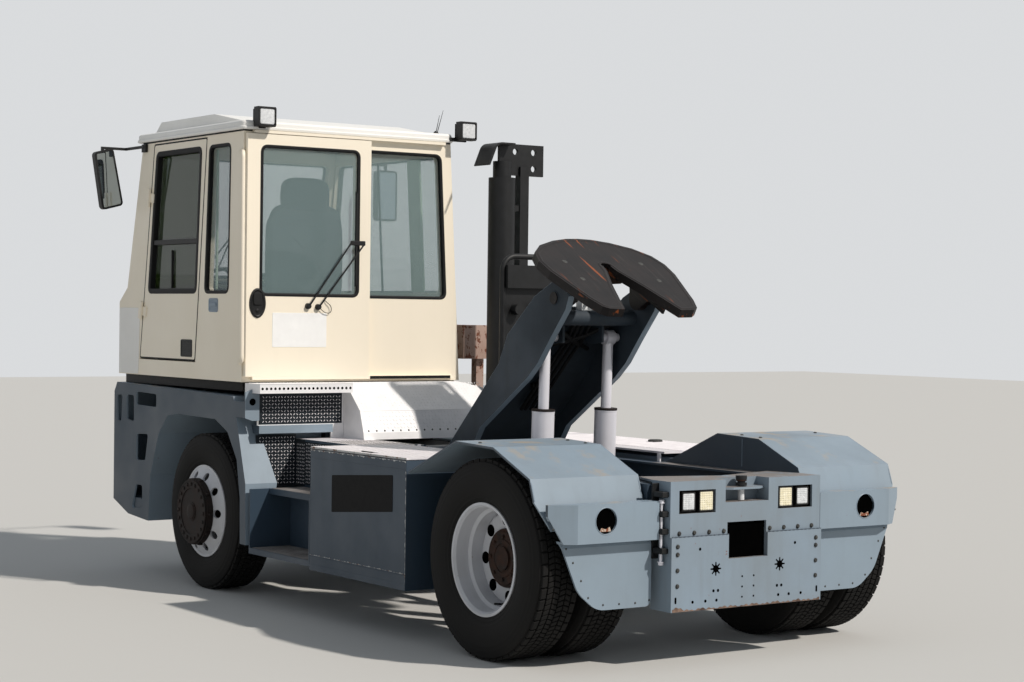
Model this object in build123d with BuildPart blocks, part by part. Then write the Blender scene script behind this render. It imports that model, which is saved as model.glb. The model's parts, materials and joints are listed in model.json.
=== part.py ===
# Terminal tractor with a high cab on the left, a lifting boom and a fifth wheel.
# Millimetres. x runs forward from the rear axle, y left from the centreline, z up from the ground.
# Every piece is moved on export, so that the origin is on the ground under the middle of the tractor.
from math import atan2, cos, hypot, radians, sin
import os

from build123d import *

os.makedirs("parts", exist_ok=True)

# Overall
half_width = 1250
hub_face = 1300
wheelbase = 3243
body_front = wheelbase + 1332
body_rear = -700
sheet = 12
gap = 6
running = 0.05
sliding = 0.3

# Wheels: 22.5 inch rims
tyre_radius_rear = 528
tyre_radius_front = 505
tyre_width = 285
wheel_y = 1080
twin_spacing = 335
flange_radius = 298.5
rim_half = 125
hand_hole_radius = 27

# Chassis rails
rail_inner = 450
rail_outer = 550
rail_bottom = 620
rail_top = 940
rail_wall = 12
rail_rear = -545
rail_front = body_front - 15

engine_half = 300

# Boom
pivot_x = 1620
pivot_z = 900
arm_outer = 340
arm_wall = 40
plate_pin_x = 585
plate_pin_z = 1905
boom_pin_radius = 40

# Fifth wheel
plate_tilt = 29.8
plate_pin_depth = 184
plate_thickness = 50
plate_half_width = 456
throat_apex = 112
throat_radius = 27
ear_gap = 10
plate_pin_radius = 35

# Lift cylinders: two stages
cyl_y = 228
cyl_base_x = 865
cyl_base_z = 420
rod_eye_x = 822
rod_eye_z = 1680
barrel_radius = 78
sleeve_radius = 66
rod_radius = 31
barrel_length = 450
sleeve_top = 840
eye_radius = 45
cyl_pin_radius = 25

# Rear end
bulk_half = 520
bulk_front = rail_rear
bulk_bottom = 290
bulk_top = 962
fender_inner = 560
fender_wall = 12

# Cab
cab_left = 1220
cab_right = -415
cab_right_top = -325
cab_rear = wheelbase - 528
cab_front = wheelbase + 1327
cab_floor_z = 1360
cab_eave = 2950
mirror_edge = 1480
wall = 60
door_thick = 45

# Front body
bumper_rear = body_front - 275
deck_z = 1000
side_inner = rail_outer + 70
deck_front = wheelbase - 603
steps_front = wheelbase - 683
box_bottom, box_top = 285, deck_z


def block(x, y, z, mode=Mode.ADD):
    """Box between the low and high value of each axis."""
    with Locations(((x[0] + x[1]) / 2, (y[0] + y[1]) / 2, (z[0] + z[1]) / 2)):
        Box(x[1] - x[0], y[1] - y[0], z[1] - z[0], mode=mode)


def bar(axis, centre, radius, length, mode=Mode.ADD):
    """Round bar along one axis, given by its middle."""
    turn = {"x": (0, 90, 0), "y": (90, 0, 0), "z": (0, 0, 0)}[axis]
    with Locations(Location(centre, turn)):
        Cylinder(radius, length, mode=mode)


def side_plate(points, y_left, thickness, mode=Mode.ADD, radius=0):
    """Plate seen from the side: x and z points, from its left face inwards."""
    with BuildSketch(Plane.XZ.offset(-y_left)) as outline:
        with BuildLine():
            if radius:
                FilletPolyline(*points, radius=radius, close=True)
            else:
                Polyline(*points, close=True)
        make_face()
    extrude(outline.sketch, amount=thickness, mode=mode)


def cross_plate(points, x_rear, thickness, mode=Mode.ADD, radius=0):
    """Plate seen from behind: y and z points, from its rear face forward."""
    with BuildSketch(Plane.YZ.offset(x_rear)) as outline:
        with BuildLine():
            if radius:
                FilletPolyline(*points, radius=radius, close=True)
            else:
                Polyline(*points, close=True)
        make_face()
    extrude(outline.sketch, amount=thickness, mode=mode)


def strip(points, thickness):
    """Outline of a folded sheet: the points, then the same points moved square to the sheet."""
    moved = []
    for i, (a, b) in enumerate(points):
        before = points[max(i - 1, 0)]
        after = points[min(i + 1, len(points) - 1)]
        d1 = atan2(b - before[1], a - before[0]) if i else atan2(after[1] - b, after[0] - a)
        d2 = atan2(after[1] - b, after[0] - a) if i < len(points) - 1 else d1
        mid = (d1 + d2) / 2
        if abs(d1 - d2) > 3.1416:
            mid += 3.14159265
        reach = thickness / cos((d1 - d2) / 2 if abs(d1 - d2) <= 3.1416 else (d1 - d2) / 2 + 3.14159265)
        moved.append((a - reach * sin(mid), b + reach * cos(mid)))
    return list(points) + moved[::-1]


def other_side(build):
    """The same piece on the right-hand side."""
    with BuildPart() as twin:
        add(mirror(build.part, about=Plane.XZ, mode=Mode.PRIVATE))
    return twin


# Frame rails, crossmembers, boom bearings and lift cylinder feet
with BuildPart() as chassis_frame:
    for side in (1, -1):
        web = sorted((side * rail_outer, side * (rail_outer - rail_wall)))
        flange = sorted((side * rail_outer, side * rail_inner))
        block((rail_rear, rail_front), web, (rail_bottom, rail_top))
        block((rail_rear, rail_front), flange, (rail_top - rail_wall, rail_top))
        block((rail_rear, rail_front), flange, (rail_bottom, rail_bottom + rail_wall))
        ear = sorted((side * (arm_outer + gap), side * (rail_outer - rail_wall)))
        block((pivot_x - 130, pivot_x + 130), ear, (rail_top - 60, pivot_z))
        bar("y", (pivot_x, sum(ear) / 2, pivot_z), 110, ear[1] - ear[0])
        foot = sorted((side * rail_inner, side * rail_outer))
        block((cyl_base_x - 60, cyl_base_x + 60), foot, (cyl_base_z - 130, rail_bottom))
        for y_ear in (cyl_y - 55, cyl_y + 55):
            block(
                (cyl_base_x - 50, cyl_base_x + 50),
                sorted((side * (y_ear - 12), side * (y_ear + 12))),
                (cyl_base_z - 60, cyl_base_z),
            )
            bar("y", (cyl_base_x, side * y_ear, cyl_base_z), 50, 24)
        bar("y", (cyl_base_x, side * cyl_y, cyl_base_z), cyl_pin_radius, 134)
    block((cyl_base_x - 60, cyl_base_x + 60), (-rail_outer, rail_outer), (cyl_base_z - 130, cyl_base_z - 60))
    for x_cross, half_long in ((rail_rear + 65, 60), (cab_rear - 835, 40), (cab_front - 370, 60)):
        block(
            (x_cross - half_long, x_cross + half_long),
            (-rail_outer + rail_wall, rail_outer - rail_wall),
            (rail_bottom + rail_wall, rail_bottom + 110),
        )
    for x_portal in (cab_rear + 85, cab_front - 370):
        block((x_portal - 20, x_portal + 20), (-rail_outer, rail_outer), (1240, 1300))
        for side in (1, -1):
            post = sorted((side * rail_inner, side * rail_outer))
            block((x_portal - 20, x_portal + 20), post, (rail_top, 1240))
    for side in (1, -1):
        for x_low, x_high, z_low, z_high in ((-400, -320, 790, 850), (580, 640, 842, 858)):
            bracket = sorted((side * rail_outer, side * fender_inner))
            block((x_low, x_high), bracket, (z_low, z_high))
        mount = sorted((side * engine_half, side * (rail_outer - rail_wall)))
        for x_mount in (wheelbase - 293, wheelbase + 557):
            block((x_mount - 40, x_mount + 40), mount, (720, 780))
        bearing = side * (arm_outer + gap + 25)
        bar("y", (pivot_x, bearing, pivot_z), boom_pin_radius + running, 60, Mode.SUBTRACT)

# Rear crossbeam: the box between the rear fenders, with its lamp windows and towing recess
lamp_low, lamp_high = 794, 914
lamp_inner, lamp_outer = 217, 462
seam_z = 675
recess_half = 150
recess_deep = 100
recess_floor = 842
shelf_z = 905
tow_pin_x = body_rear + 50
tow_pin_radius = 15
top_front = -345
with BuildPart() as rear_bulkhead:
    block((body_rear, bulk_front), (-bulk_half, bulk_half), (bulk_bottom, bulk_top))
    block(
        (body_rear + 15, bulk_front),
        (-bulk_half + sheet, bulk_half - sheet),
        (bulk_bottom + sheet, bulk_top - sheet),
        Mode.SUBTRACT,
    )
    block((body_rear - 14, body_rear), (-bulk_half, bulk_half), (bulk_bottom, seam_z))
    block((body_rear - 20, body_rear + 20), (-135, 135), (548, 737), Mode.SUBTRACT)
    for side in (1, -1):
        window = sorted((side * lamp_inner, side * lamp_outer))
        block((body_rear - 5, body_rear + 30), window, (lamp_low, lamp_high), Mode.SUBTRACT)
    for inset, mode in ((sheet, Mode.ADD), (0, Mode.SUBTRACT)):
        block(
            (body_rear - (0 if inset else 5), body_rear + recess_deep + inset),
            (-recess_half - inset, recess_half + inset),
            (recess_floor - inset, bulk_top + (0 if inset else 5)),
            mode,
        )
    with BuildSketch(Plane.XY.offset(shelf_z)) as shelf:
        with BuildLine():
            Polyline(
                (body_rear + recess_deep + 1, -recess_half),
                (body_rear + 40, -recess_half),
                (body_rear + 6, -90),
                (body_rear + 6, 90),
                (body_rear + 40, recess_half),
                (body_rear + recess_deep + 1, recess_half),
                close=True,
            )
        make_face()
    extrude(shelf.sketch, amount=sheet)
    bar("z", (tow_pin_x, 0, recess_floor), tow_pin_radius + sliding, 260, Mode.SUBTRACT)
    with BuildSketch(Plane.XY.offset(bulk_top - sheet)) as top_plate:
        with BuildLine():
            Polyline(
                (bulk_front - 1, -bulk_half),
                (bulk_front - 1, bulk_half),
                (top_front, rail_inner),
                (bulk_front + 60, 0),
                (top_front, -rail_inner),
                close=True,
            )
        make_face()
    extrude(top_plate.sketch, amount=sheet)

with BuildPart() as rear_towing_pin:
    pin_low, pin_high = recess_floor - 40, shelf_z + sheet + 6
    bar("z", (tow_pin_x, 0, (pin_low + pin_high) / 2), tow_pin_radius, pin_high - pin_low)
    bar("z", (tow_pin_x, 0, shelf_z + sheet + 4 + 8), 30, 16)
    bar("z", (tow_pin_x, 0, shelf_z + sheet + 20 + 9), 21, 20)
    bar("z", (tow_pin_x, 0, shelf_z + sheet + 38 + 9), 30, 20)

# Rear fenders: one folded sheet over the twin wheels with a tapered rear apron and a tail lamp box
fender_top = [(675, 942), (206, 1138), (-151, 1125), (-480, 985)]
fender_top = [(x_fold, z_fold - 528 + tyre_radius_rear) for x_fold, z_fold in fender_top]
fender_side = fender_top + [(-600, 640), (-600, 315)]
apron_taper = [(half_width - inset, level) for inset, level in ((0, 870), (120, 640), (220, 410), (340, 315))]
tail_lamp_y, tail_lamp_z, tail_lamp_radius = half_width - 349, 775, 66
lamp_box_rear, lamp_box_low, lamp_box_high = -660, 664, 862
with BuildPart() as rear_fender_left:
    side_plate(strip(fender_side, fender_wall), half_width, half_width - fender_inner)
    side_plate(
        fender_top + [(-545, 800), (-300, 700), (0, 980), (300, 980), (675, 800)],
        fender_inner + fender_wall,
        fender_wall,
    )
    for inset, level, mode in ((0, 0, Mode.ADD), (sheet, 0, Mode.SUBTRACT)):
        with BuildSketch(Plane.XY.offset(lamp_box_low + inset)) as lamp_box:
            with BuildLine():
                Polyline(
                    (lamp_box_rear + inset, fender_inner + inset),
                    (lamp_box_rear + inset, half_width - 170 - inset),
                    (-590, half_width - 35 - inset),
                    (-570 + inset, half_width - 35 - inset),
                    (-570 + inset, fender_inner + inset),
                    close=True,
                )
            make_face()
        extrude(lamp_box.sketch, amount=lamp_box_high - lamp_box_low - 2 * inset, mode=mode)
    bar("x", (lamp_box_rear, tail_lamp_y, tail_lamp_z), tail_lamp_radius, 60, Mode.SUBTRACT)
    with BuildSketch(Plane.YZ.offset(-800)) as apron_cut:
        with BuildLine():
            FilletPolyline(*apron_taper, (fender_inner, 315), (fender_inner, 400), radius=[300, 180, 140, 40])
            Polyline(
                (fender_inner, 400),
                (fender_inner - 1, 400),
                (fender_inner - 1, 200),
                (half_width + 150, 200),
                (half_width + 150, 870),
                apron_taper[0],
            )
        make_face()
    extrude(apron_cut.sketch, amount=500, mode=Mode.SUBTRACT)
rear_fender_right = other_side(rear_fender_left)

# Lamps: two working lamps in each crossbeam window, tail lamps, roof lamps and headlamps
work_lamps = [(226, 326, 800, 910), (350, 440, 806, 904)]
with BuildPart() as lamps:
    for side in (1, -1):
        window = sorted((side * lamp_inner, side * lamp_outer))
        housing = (window[0] - 12, window[1] + 12)
        block((body_rear + 15, body_rear + 60), housing, (lamp_low - 12, lamp_high + 12))
        block((body_rear + 14, body_rear + 50), window, (lamp_low, lamp_high), Mode.SUBTRACT)
        for y_low, y_high, z_low, z_high in work_lamps:
            face = sorted((side * y_low, side * y_high))
            block((body_rear + 8, body_rear + 50), face, (z_low, z_high))
        bar("x", (lamp_box_rear + sheet + 8, side * tail_lamp_y, tail_lamp_z), tail_lamp_radius + 7, 16)
        for y_lamp, lamp_radius in ((520, 85), (330, 70)):
            bar("x", (body_front + 6, side * y_lamp, 600), lamp_radius, 12)
    for y_lamp, y_low, y_high in ((1112, 1090, 1134), (-402, -424, -300)):
        block((cab_rear - 103, cab_rear - 43), (y_lamp - 62, y_lamp + 62), (2966, 3090))
        block((cab_rear - 43, cab_rear - 25), (y_low, y_high), (2958, 2984))

# Rear axle, bolted to the rails
with BuildPart() as rear_axle:
    bar("y", (0, 0, tyre_radius_rear), 90, 2 * (rail_outer + 30))
    bar("y", (0, 0, tyre_radius_rear), 60, 2 * 985)
    with Locations((0, 0, tyre_radius_rear)):
        Sphere(185)
    bar("x", (150, 0, tyre_radius_rear), 70, 200)
    for side in (1, -1):
        pad = sorted((side * rail_inner, side * rail_outer))
        block((-110, 110), pad, (tyre_radius_rear, rail_bottom))

# Front axle with a fork at each end for the steering knuckle
king_y = 900
king_radius = 32
fork_half = 115
with BuildPart() as front_axle:
    bar("y", (wheelbase, 0, tyre_radius_front), 80, 2 * (king_y - 60))
    with Locations((wheelbase, 0, tyre_radius_front)):
        Sphere(150)
    for side in (1, -1):
        block(
            (wheelbase - 55, wheelbase + 55),
            sorted((side * (king_y - 80), side * (king_y - 50))),
            (tyre_radius_front - fork_half, tyre_radius_front + fork_half),
        )
        for level in (1, -1):
            block(
                (wheelbase - 50, wheelbase + 50),
                sorted((side * (king_y - 80), side * (king_y + 45))),
                sorted(
                    (
                        tyre_radius_front + level * (fork_half - 35),
                        tyre_radius_front + level * fork_half,
                    )
                ),
            )
        bar("z", (wheelbase, side * king_y, tyre_radius_front), king_radius + running, 400, Mode.SUBTRACT)
        pad = sorted((side * (rail_inner + 10), side * (rail_outer - 10)))
        block((wheelbase - 60, wheelbase + 60), pad, (tyre_radius_front, tyre_radius_front + 85))
        block((wheelbase - 540, wheelbase + 540), pad, (tyre_radius_front + 85, rail_bottom))

spindle_radius = 55
spindle_end = 1170
with BuildPart() as knuckle_left:
    block(
        (wheelbase - 42, wheelbase + 42),
        (king_y, king_y + 50),
        (tyre_radius_front - fork_half + 41, tyre_radius_front + fork_half - 41),
    )
    bar("z", (wheelbase, king_y, tyre_radius_front), 42, 2 * fork_half - 82)
    bar("z", (wheelbase, king_y, tyre_radius_front), king_radius, 2 * fork_half + 16)
    bar("y", (wheelbase, (king_y + spindle_end) / 2, tyre_radius_front), spindle_radius, spindle_end - king_y)
knuckle_right = other_side(knuckle_left)

# Propeller shafts
with BuildPart() as propshafts:
    gearbox_rear, gearbox_front = cab_rear - 565, cab_rear + 135
    for x_low, x_high, z_level in (
        (250, gearbox_rear, tyre_radius_rear + 15),
        (gearbox_front + 50, wheelbase - 150, tyre_radius_front),
    ):
        bar("x", ((x_low + x_high) / 2, 0, z_level), 45, x_high - x_low)

# Engine and gearbox as one plain block
with BuildPart() as engine_block:
    block((gearbox_front, wheelbase + 707), (-engine_half, engine_half), (690, 1290))
    block((gearbox_rear, gearbox_front), (-230, 230), (470, 960))


# Rim profile: axial position from the wheel's middle, radius
rim_profile = [
    (-rim_half, flange_radius),
    (-rim_half + 12, flange_radius),
    (-rim_half + 18, 286),
    (-60, 282),
    (-50, 262),
    (20, 262),
    (30, 281),
    (rim_half - 18, 286),
    (rim_half - 12, flange_radius),
    (rim_half, flange_radius),
    (rim_half, 284),
    (rim_half - 14, 274),
    (38, 269),
    (28, 250),
    (-45, 250),
    (-58, 270),
    (-rim_half + 8, 272),
    (-150, 215),
    (-155.5, 205),
    (-155.5, 140),
    (-167.5, 140),
    (-167.5, 210),
    (-160, 222),
    (-rim_half, 284),
]


def rim(x_axle, y_middle, z_axle, dish):
    """One wheel rim; dish is 1 where its disc lies towards the centreline, -1 where outwards."""
    plane = Plane(origin=(x_axle, y_middle, z_axle), x_dir=(0, dish, 0), z_dir=(1, 0, 0))
    with BuildSketch(plane) as section:
        with BuildLine():
            Polyline(*rim_profile, close=True)
        make_face()
    revolve(section.sketch, axis=Axis((x_axle, y_middle, z_axle), (0, 1, 0)))
    disc_y = y_middle - dish * 150
    with Locations(Location((x_axle, disc_y, z_axle), (90, 0, 0))):
        with PolarLocations(236, 10):
            Cylinder(hand_hole_radius, 70, mode=Mode.SUBTRACT)


def tyre(x_axle, y_middle, z_axle, radius):
    """One tyre: bead, bulged side wall and flat tread."""
    half = tyre_width / 2
    plane = Plane(origin=(x_axle, y_middle, z_axle), x_dir=(0, 1, 0), z_dir=(1, 0, 0))
    with BuildSketch(plane) as section:
        with BuildLine():
            Polyline((-118, flange_radius), (118, flange_radius))
            ThreePointArc((118, flange_radius), (half, 400), (half - 14, radius - 28))
            shoulder = [(half - 14, radius - 28), (half - 32, radius)]
            Polyline(*shoulder, *[(-u, r) for u, r in shoulder[::-1]])
            ThreePointArc((14 - half, radius - 28), (-half, 400), (-118, flange_radius))
        make_face()
    revolve(section.sketch, axis=Axis((x_axle, y_middle, z_axle), (0, 1, 0)))


# Rear wheels: two rims and two tyres on one hub each side
with BuildPart() as rims_rear_left:
    rim(0, wheel_y, tyre_radius_rear, 1)
    rim(0, wheel_y - twin_spacing, tyre_radius_rear, -1)
rims_rear_right = other_side(rims_rear_left)

with BuildPart() as tyres_rear_left:
    tyre(0, wheel_y, tyre_radius_rear, tyre_radius_rear)
    tyre(0, wheel_y - twin_spacing, tyre_radius_rear, tyre_radius_rear)
tyres_rear_right = other_side(tyres_rear_left)

hub_fit = 139.5
rear_disc_face = wheel_y - 155.5
rear_drum_radius, rear_drum_face = 153, 1075
with BuildPart() as hub_rear_left:
    bar("y", (0, (780 + rear_disc_face) / 2, tyre_radius_rear), hub_fit, rear_disc_face - 780)
    bar("y", (0, rear_disc_face + 70.3, tyre_radius_rear), rear_drum_radius, 140)
    bar("y", (0, rear_drum_face - 10, tyre_radius_rear), rear_drum_radius - 14, 20)
    bar("y", (0, rear_drum_face + 6, tyre_radius_rear), 62, 12)
    bar("y", (0, 885, tyre_radius_rear), 60 + running, 210, Mode.SUBTRACT)
hub_rear_right = other_side(hub_rear_left)

with BuildPart() as rim_front_left:
    rim(wheelbase, wheel_y, tyre_radius_front, -1)
rim_front_right = other_side(rim_front_left)

with BuildPart() as tyre_front_left:
    tyre(wheelbase, wheel_y, tyre_radius_front, tyre_radius_front)
tyre_front_right = other_side(tyre_front_left)

front_disc_face = wheel_y + 167.5
drum_radius = 215
with BuildPart() as hub_front_left:
    bar("y", (wheelbase, (1055 + front_disc_face) / 2, tyre_radius_front), hub_fit, front_disc_face - 1055)
    drum_middle = (front_disc_face + hub_face - 12) / 2
    bar("y", (wheelbase, drum_middle, tyre_radius_front), drum_radius, hub_face - 12.4 - front_disc_face)
    bar("y", (wheelbase, hub_face - 7, tyre_radius_front), drum_radius - 8, 14)
    bar("y", (wheelbase, hub_face, tyre_radius_front), 150, 10, Mode.SUBTRACT)
    bar("y", (wheelbase, hub_face - 5, tyre_radius_front), 60, 10)
    bar("y", (wheelbase, 1110, tyre_radius_front), spindle_radius + running, 121, Mode.SUBTRACT)
hub_front_right = other_side(hub_front_left)

# Boom: two cranked side plates, a web between their upper edges, a pivot tube and a head tube
arm_outline = [
    (1690, 985),
    (1140, 1515),
    (1050, 1690),
    (780, 1915),
    (600, 2000),
    (500, 1965),
    (450, 1915),
    (480, 1840),
    (620, 1680),
    (745, 1530),
    (850, 1440),
    (1330, 1130),
    (1530, 850),
    (1620, 800),
]
web_line = [(1640, 985), (1120, 1475), (1030, 1650), (810, 1860)]
lug_inner = 150
with BuildPart() as boom:
    for side in (1, -1):
        y_left = arm_outer if side == 1 else -arm_outer + arm_wall
        side_plate(arm_outline, y_left, arm_wall)
        bar("y", (pivot_x, y_left - arm_wall / 2, pivot_z), 100, arm_wall)
    side_plate(strip(web_line, 14), arm_outer - arm_wall, 2 * (arm_outer - arm_wall))
    bar("y", (pivot_x, 0, pivot_z), 70, 2 * arm_outer)
    bar("y", (pivot_x, 0, pivot_z), boom_pin_radius, 2 * (arm_outer + gap + 50))
    bar("y", (690, 0, 1795), 45, 2 * arm_outer - arm_wall)
    for side in (1, -1):
        lug = lug_inner if side == 1 else -lug_inner + 15
        lug_line = [(rod_eye_x - 60, 1650), (rod_eye_x + 60, 1640), (970, 1690), (820, 1855)]
        side_plate(lug_line + [(rod_eye_x - 60, 1790)], lug, 15)
        pin_end = side * arm_outer
        bar("y", (plate_pin_x, pin_end, plate_pin_z), plate_pin_radius + running, 3 * arm_wall, Mode.SUBTRACT)

# Fifth wheel plate, tilted back on its pins
tilt = radians(plate_tilt)
plate_plane = Plane(
    origin=(plate_pin_x, 0, plate_pin_z),
    x_dir=(cos(tilt), 0, sin(tilt)),
    z_dir=(-sin(tilt), 0, cos(tilt)),
)
plate_half = [
    (388, 0),
    (382, 90),
    (352, 205),
    (290, 335),
    (200, 425),
    (100, plate_half_width),
    (-20, plate_half_width - 6),
    (-323, 374),
    (-410, 338),
    (-435, 300),
    (-440, 200),
    (-170, 108),
    (0, 36),
    (throat_apex - 2 * throat_radius, throat_radius),
]
with BuildPart() as fifth_wheel:
    with BuildSketch(plate_plane.offset(plate_pin_depth - plate_thickness)):
        with BuildLine():
            Polyline(*plate_half)
            ThreePointArc(plate_half[-1], (throat_apex, 0), (plate_half[-1][0], -throat_radius))
            Polyline(*[(u, -v) for u, v in plate_half[:0:-1]], plate_half[0])
        make_face()
    extrude(amount=plate_thickness)
    ear_outer = arm_outer - arm_wall - ear_gap
    plate_under = plate_pin_depth - plate_thickness
    for side in (1, -1):
        ear_y = ear_outer if side == 1 else -ear_outer + 45
        ear_origin = (plate_pin_x, ear_y, plate_pin_z)
        ear_plane = Plane(origin=ear_origin, x_dir=(cos(tilt), 0, sin(tilt)), z_dir=(0, -1, 0))
        with BuildSketch(ear_plane):
            with BuildLine():
                Polyline((-160, plate_under + 5), (-62, -10), (62, -10), (160, plate_under + 5), close=True)
            make_face()
            Circle(62)
        extrude(amount=45)
        pin_long = arm_outer - ear_outer + 20
        bar("y", (plate_pin_x, side * (ear_outer + arm_outer) / 2, plate_pin_z), plate_pin_radius, pin_long)
    with BuildSketch(plate_plane.offset(plate_under - 45)):
        for v_rib in (-190, 190):
            with Locations((-60, v_rib)):
                Rectangle(520, 14)
        with Locations((215, 0)):
            Rectangle(14, 366)
    extrude(amount=50)

# Lift cylinders: foot barrel, bright sleeve and rod
lean = atan2(cyl_base_x - rod_eye_x, rod_eye_z - cyl_base_z)
cyl_length = hypot(cyl_base_x - rod_eye_x, rod_eye_z - cyl_base_z)


def cylinder_plane():
    """Work plane at the foot pin, z along the cylinder."""
    foot_pin = (cyl_base_x, cyl_y, cyl_base_z)
    return Plane(origin=foot_pin, x_dir=(cos(lean), 0, sin(lean)), z_dir=(-sin(lean), 0, cos(lean)))


with BuildPart(cylinder_plane()) as lift_barrel_left:
    with Locations((0, 0, 50 + (barrel_length - 50) / 2)):
        Cylinder(barrel_radius, barrel_length - 50)
    with Locations(Location((0, 0, 0), (90, 0, 0))):
        Cylinder(eye_radius, 80)
    block((-30, 30), (-40, 40), (0, 60))
    with Locations((0, 0, 110 + (barrel_length - 110) / 2)):
        Cylinder(sleeve_radius + sliding, barrel_length - 110 + 2, mode=Mode.SUBTRACT)
    with Locations(Location((0, 0, 0), (90, 0, 0))):
        Cylinder(cyl_pin_radius + running, 100, mode=Mode.SUBTRACT)
lift_barrel_right = other_side(lift_barrel_left)

sleeve_low = 385
with BuildPart(cylinder_plane()) as lift_sleeve_left:
    with Locations((0, 0, (sleeve_low + sleeve_top) / 2)):
        Cylinder(sleeve_radius, sleeve_top - sleeve_low)
    with Locations((0, 0, sleeve_top - 10)):
        Cylinder(sleeve_radius + 1, 20)
    with Locations((0, 0, (sleeve_low + 50 + sleeve_top + 4) / 2)):
        Cylinder(rod_radius + sliding, sleeve_top - 46 - sleeve_low, mode=Mode.SUBTRACT)
lift_sleeve_right = other_side(lift_sleeve_left)

rod_low = 760
with BuildPart(cylinder_plane()) as lift_rod_left:
    with Locations((0, 0, (rod_low + cyl_length) / 2)):
        Cylinder(rod_radius, cyl_length - rod_low)
    with Locations(Location((0, 0, cyl_length), (90, 0, 0))):
        Cylinder(eye_radius, 60)
    rod_pin_low, rod_pin_high = lug_inner + 5 - cyl_y, arm_outer - arm_wall - 5 - cyl_y
    with Locations(Location((0, (rod_pin_low + rod_pin_high) / 2, cyl_length), (90, 0, 0))):
        Cylinder(cyl_pin_radius, rod_pin_high - rod_pin_low)
lift_rod_right = other_side(lift_rod_left)

# Battery box on the left: open tray, lid hinged along its inner edge, two batteries
box_rear, box_front = 690, 1760
with BuildPart() as battery_box:
    block((box_rear, box_front), (side_inner, half_width), (box_bottom, box_top))
    block(
        (box_rear + sheet, box_front - sheet),
        (side_inner + sheet, half_width - sheet),
        (box_bottom + sheet, box_top + 1),
        Mode.SUBTRACT,
    )
    block((box_rear, box_front), (rail_outer, side_inner), (700, 760))
    for x_knuckle in (900, 1550):
        bar("x", (x_knuckle - 35, side_inner, box_top + 15), 9, 30)
        bar("x", (x_knuckle + 35, side_inner, box_top + 15), 9, 30)
        bar("x", (x_knuckle, side_inner, box_top + 15), 5, 90)
        for x_leaf in (x_knuckle - 35, x_knuckle + 35):
            block((x_leaf - 15, x_leaf + 15), (side_inner - 9, side_inner + 9), (box_top - 10, box_top + 15))

with BuildPart() as battery_lid:
    block((box_rear, box_front), (side_inner + 16, half_width), (box_top + 5, box_top + 15))
    block((box_rear + 20, box_front - 20), (side_inner + 30, half_width - 20), (box_top - 15, box_top + 5))
    for x_knuckle in (900, 1550):
        bar("x", (x_knuckle, side_inner, box_top + 15), 9, 38)
        block((x_knuckle - 19, x_knuckle + 19), (side_inner, side_inner + 20), (box_top + 6, box_top + 15))
        bar("x", (x_knuckle, side_inner, box_top + 15), 5 + running, 60, Mode.SUBTRACT)
    block((1120, 1300), (1165, 1215), (box_top + 9, box_top + 16), Mode.SUBTRACT)

with BuildPart() as batteries:
    for x_low in (760, 1240):
        block((x_low, x_low + 420), (side_inner + 140, half_width - 130), (box_bottom + sheet, 640))

# Fuel and hydraulic tanks on the right
with BuildPart() as tanks:
    block((690, 1640), (-half_width + 20, -side_inner), (340, 960))
    block((690, 1640), (-side_inner, -rail_outer), (700, 760))
    bar("z", (1450, -1100, 972), 45, 24)
    tank_front = steps_front - 140
    block((1680, tank_front), (-half_width + 20, -side_inner), (340, 960))
    block((1680, tank_front), (-side_inner, -rail_outer), (700, 760))

# Deck plates
with BuildPart() as deck_plates:
    block((690, steps_front), (-half_width, -fender_inner), (deck_z - sheet, deck_z))
    block((690, steps_front), (-half_width, -half_width + sheet), (deck_z - 60, deck_z))
    block((box_front + 30, deck_front), (rail_inner, half_width - 412), (deck_z - sheet, deck_z))
    for x_post in (720, 1650, steps_front - 120):
        block((x_post, x_post + 25), (-fender_inner, -rail_outer), (760, deck_z - sheet))
    for x_post in (box_front + 40, steps_front - 60):
        block((x_post, x_post + 40), (rail_outer - 60, rail_outer), (rail_top, deck_z - sheet))

# Entry steps on the left: one sheet folded into two treads, between two side cheeks
step_fold = [(400, 1000), (400, 700), (150, 700), (150, 665), (300, 665), (300, 335), (15, 335), (15, 300)]
step_fold = step_fold + [(312, 300), (312, 653), (412, 653), (412, 1000)]
with BuildPart() as entry_steps:
    fold = [(half_width - inset, level - 1000 + deck_z) for inset, level in step_fold]
    cross_plate(fold, box_front + 30, steps_front - box_front - 30)
    for x_cheek in (box_front + 30, steps_front - sheet):
        block((x_cheek, x_cheek + sheet), (rail_outer, half_width - 15), (deck_z - 700, deck_z - 300))

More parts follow.
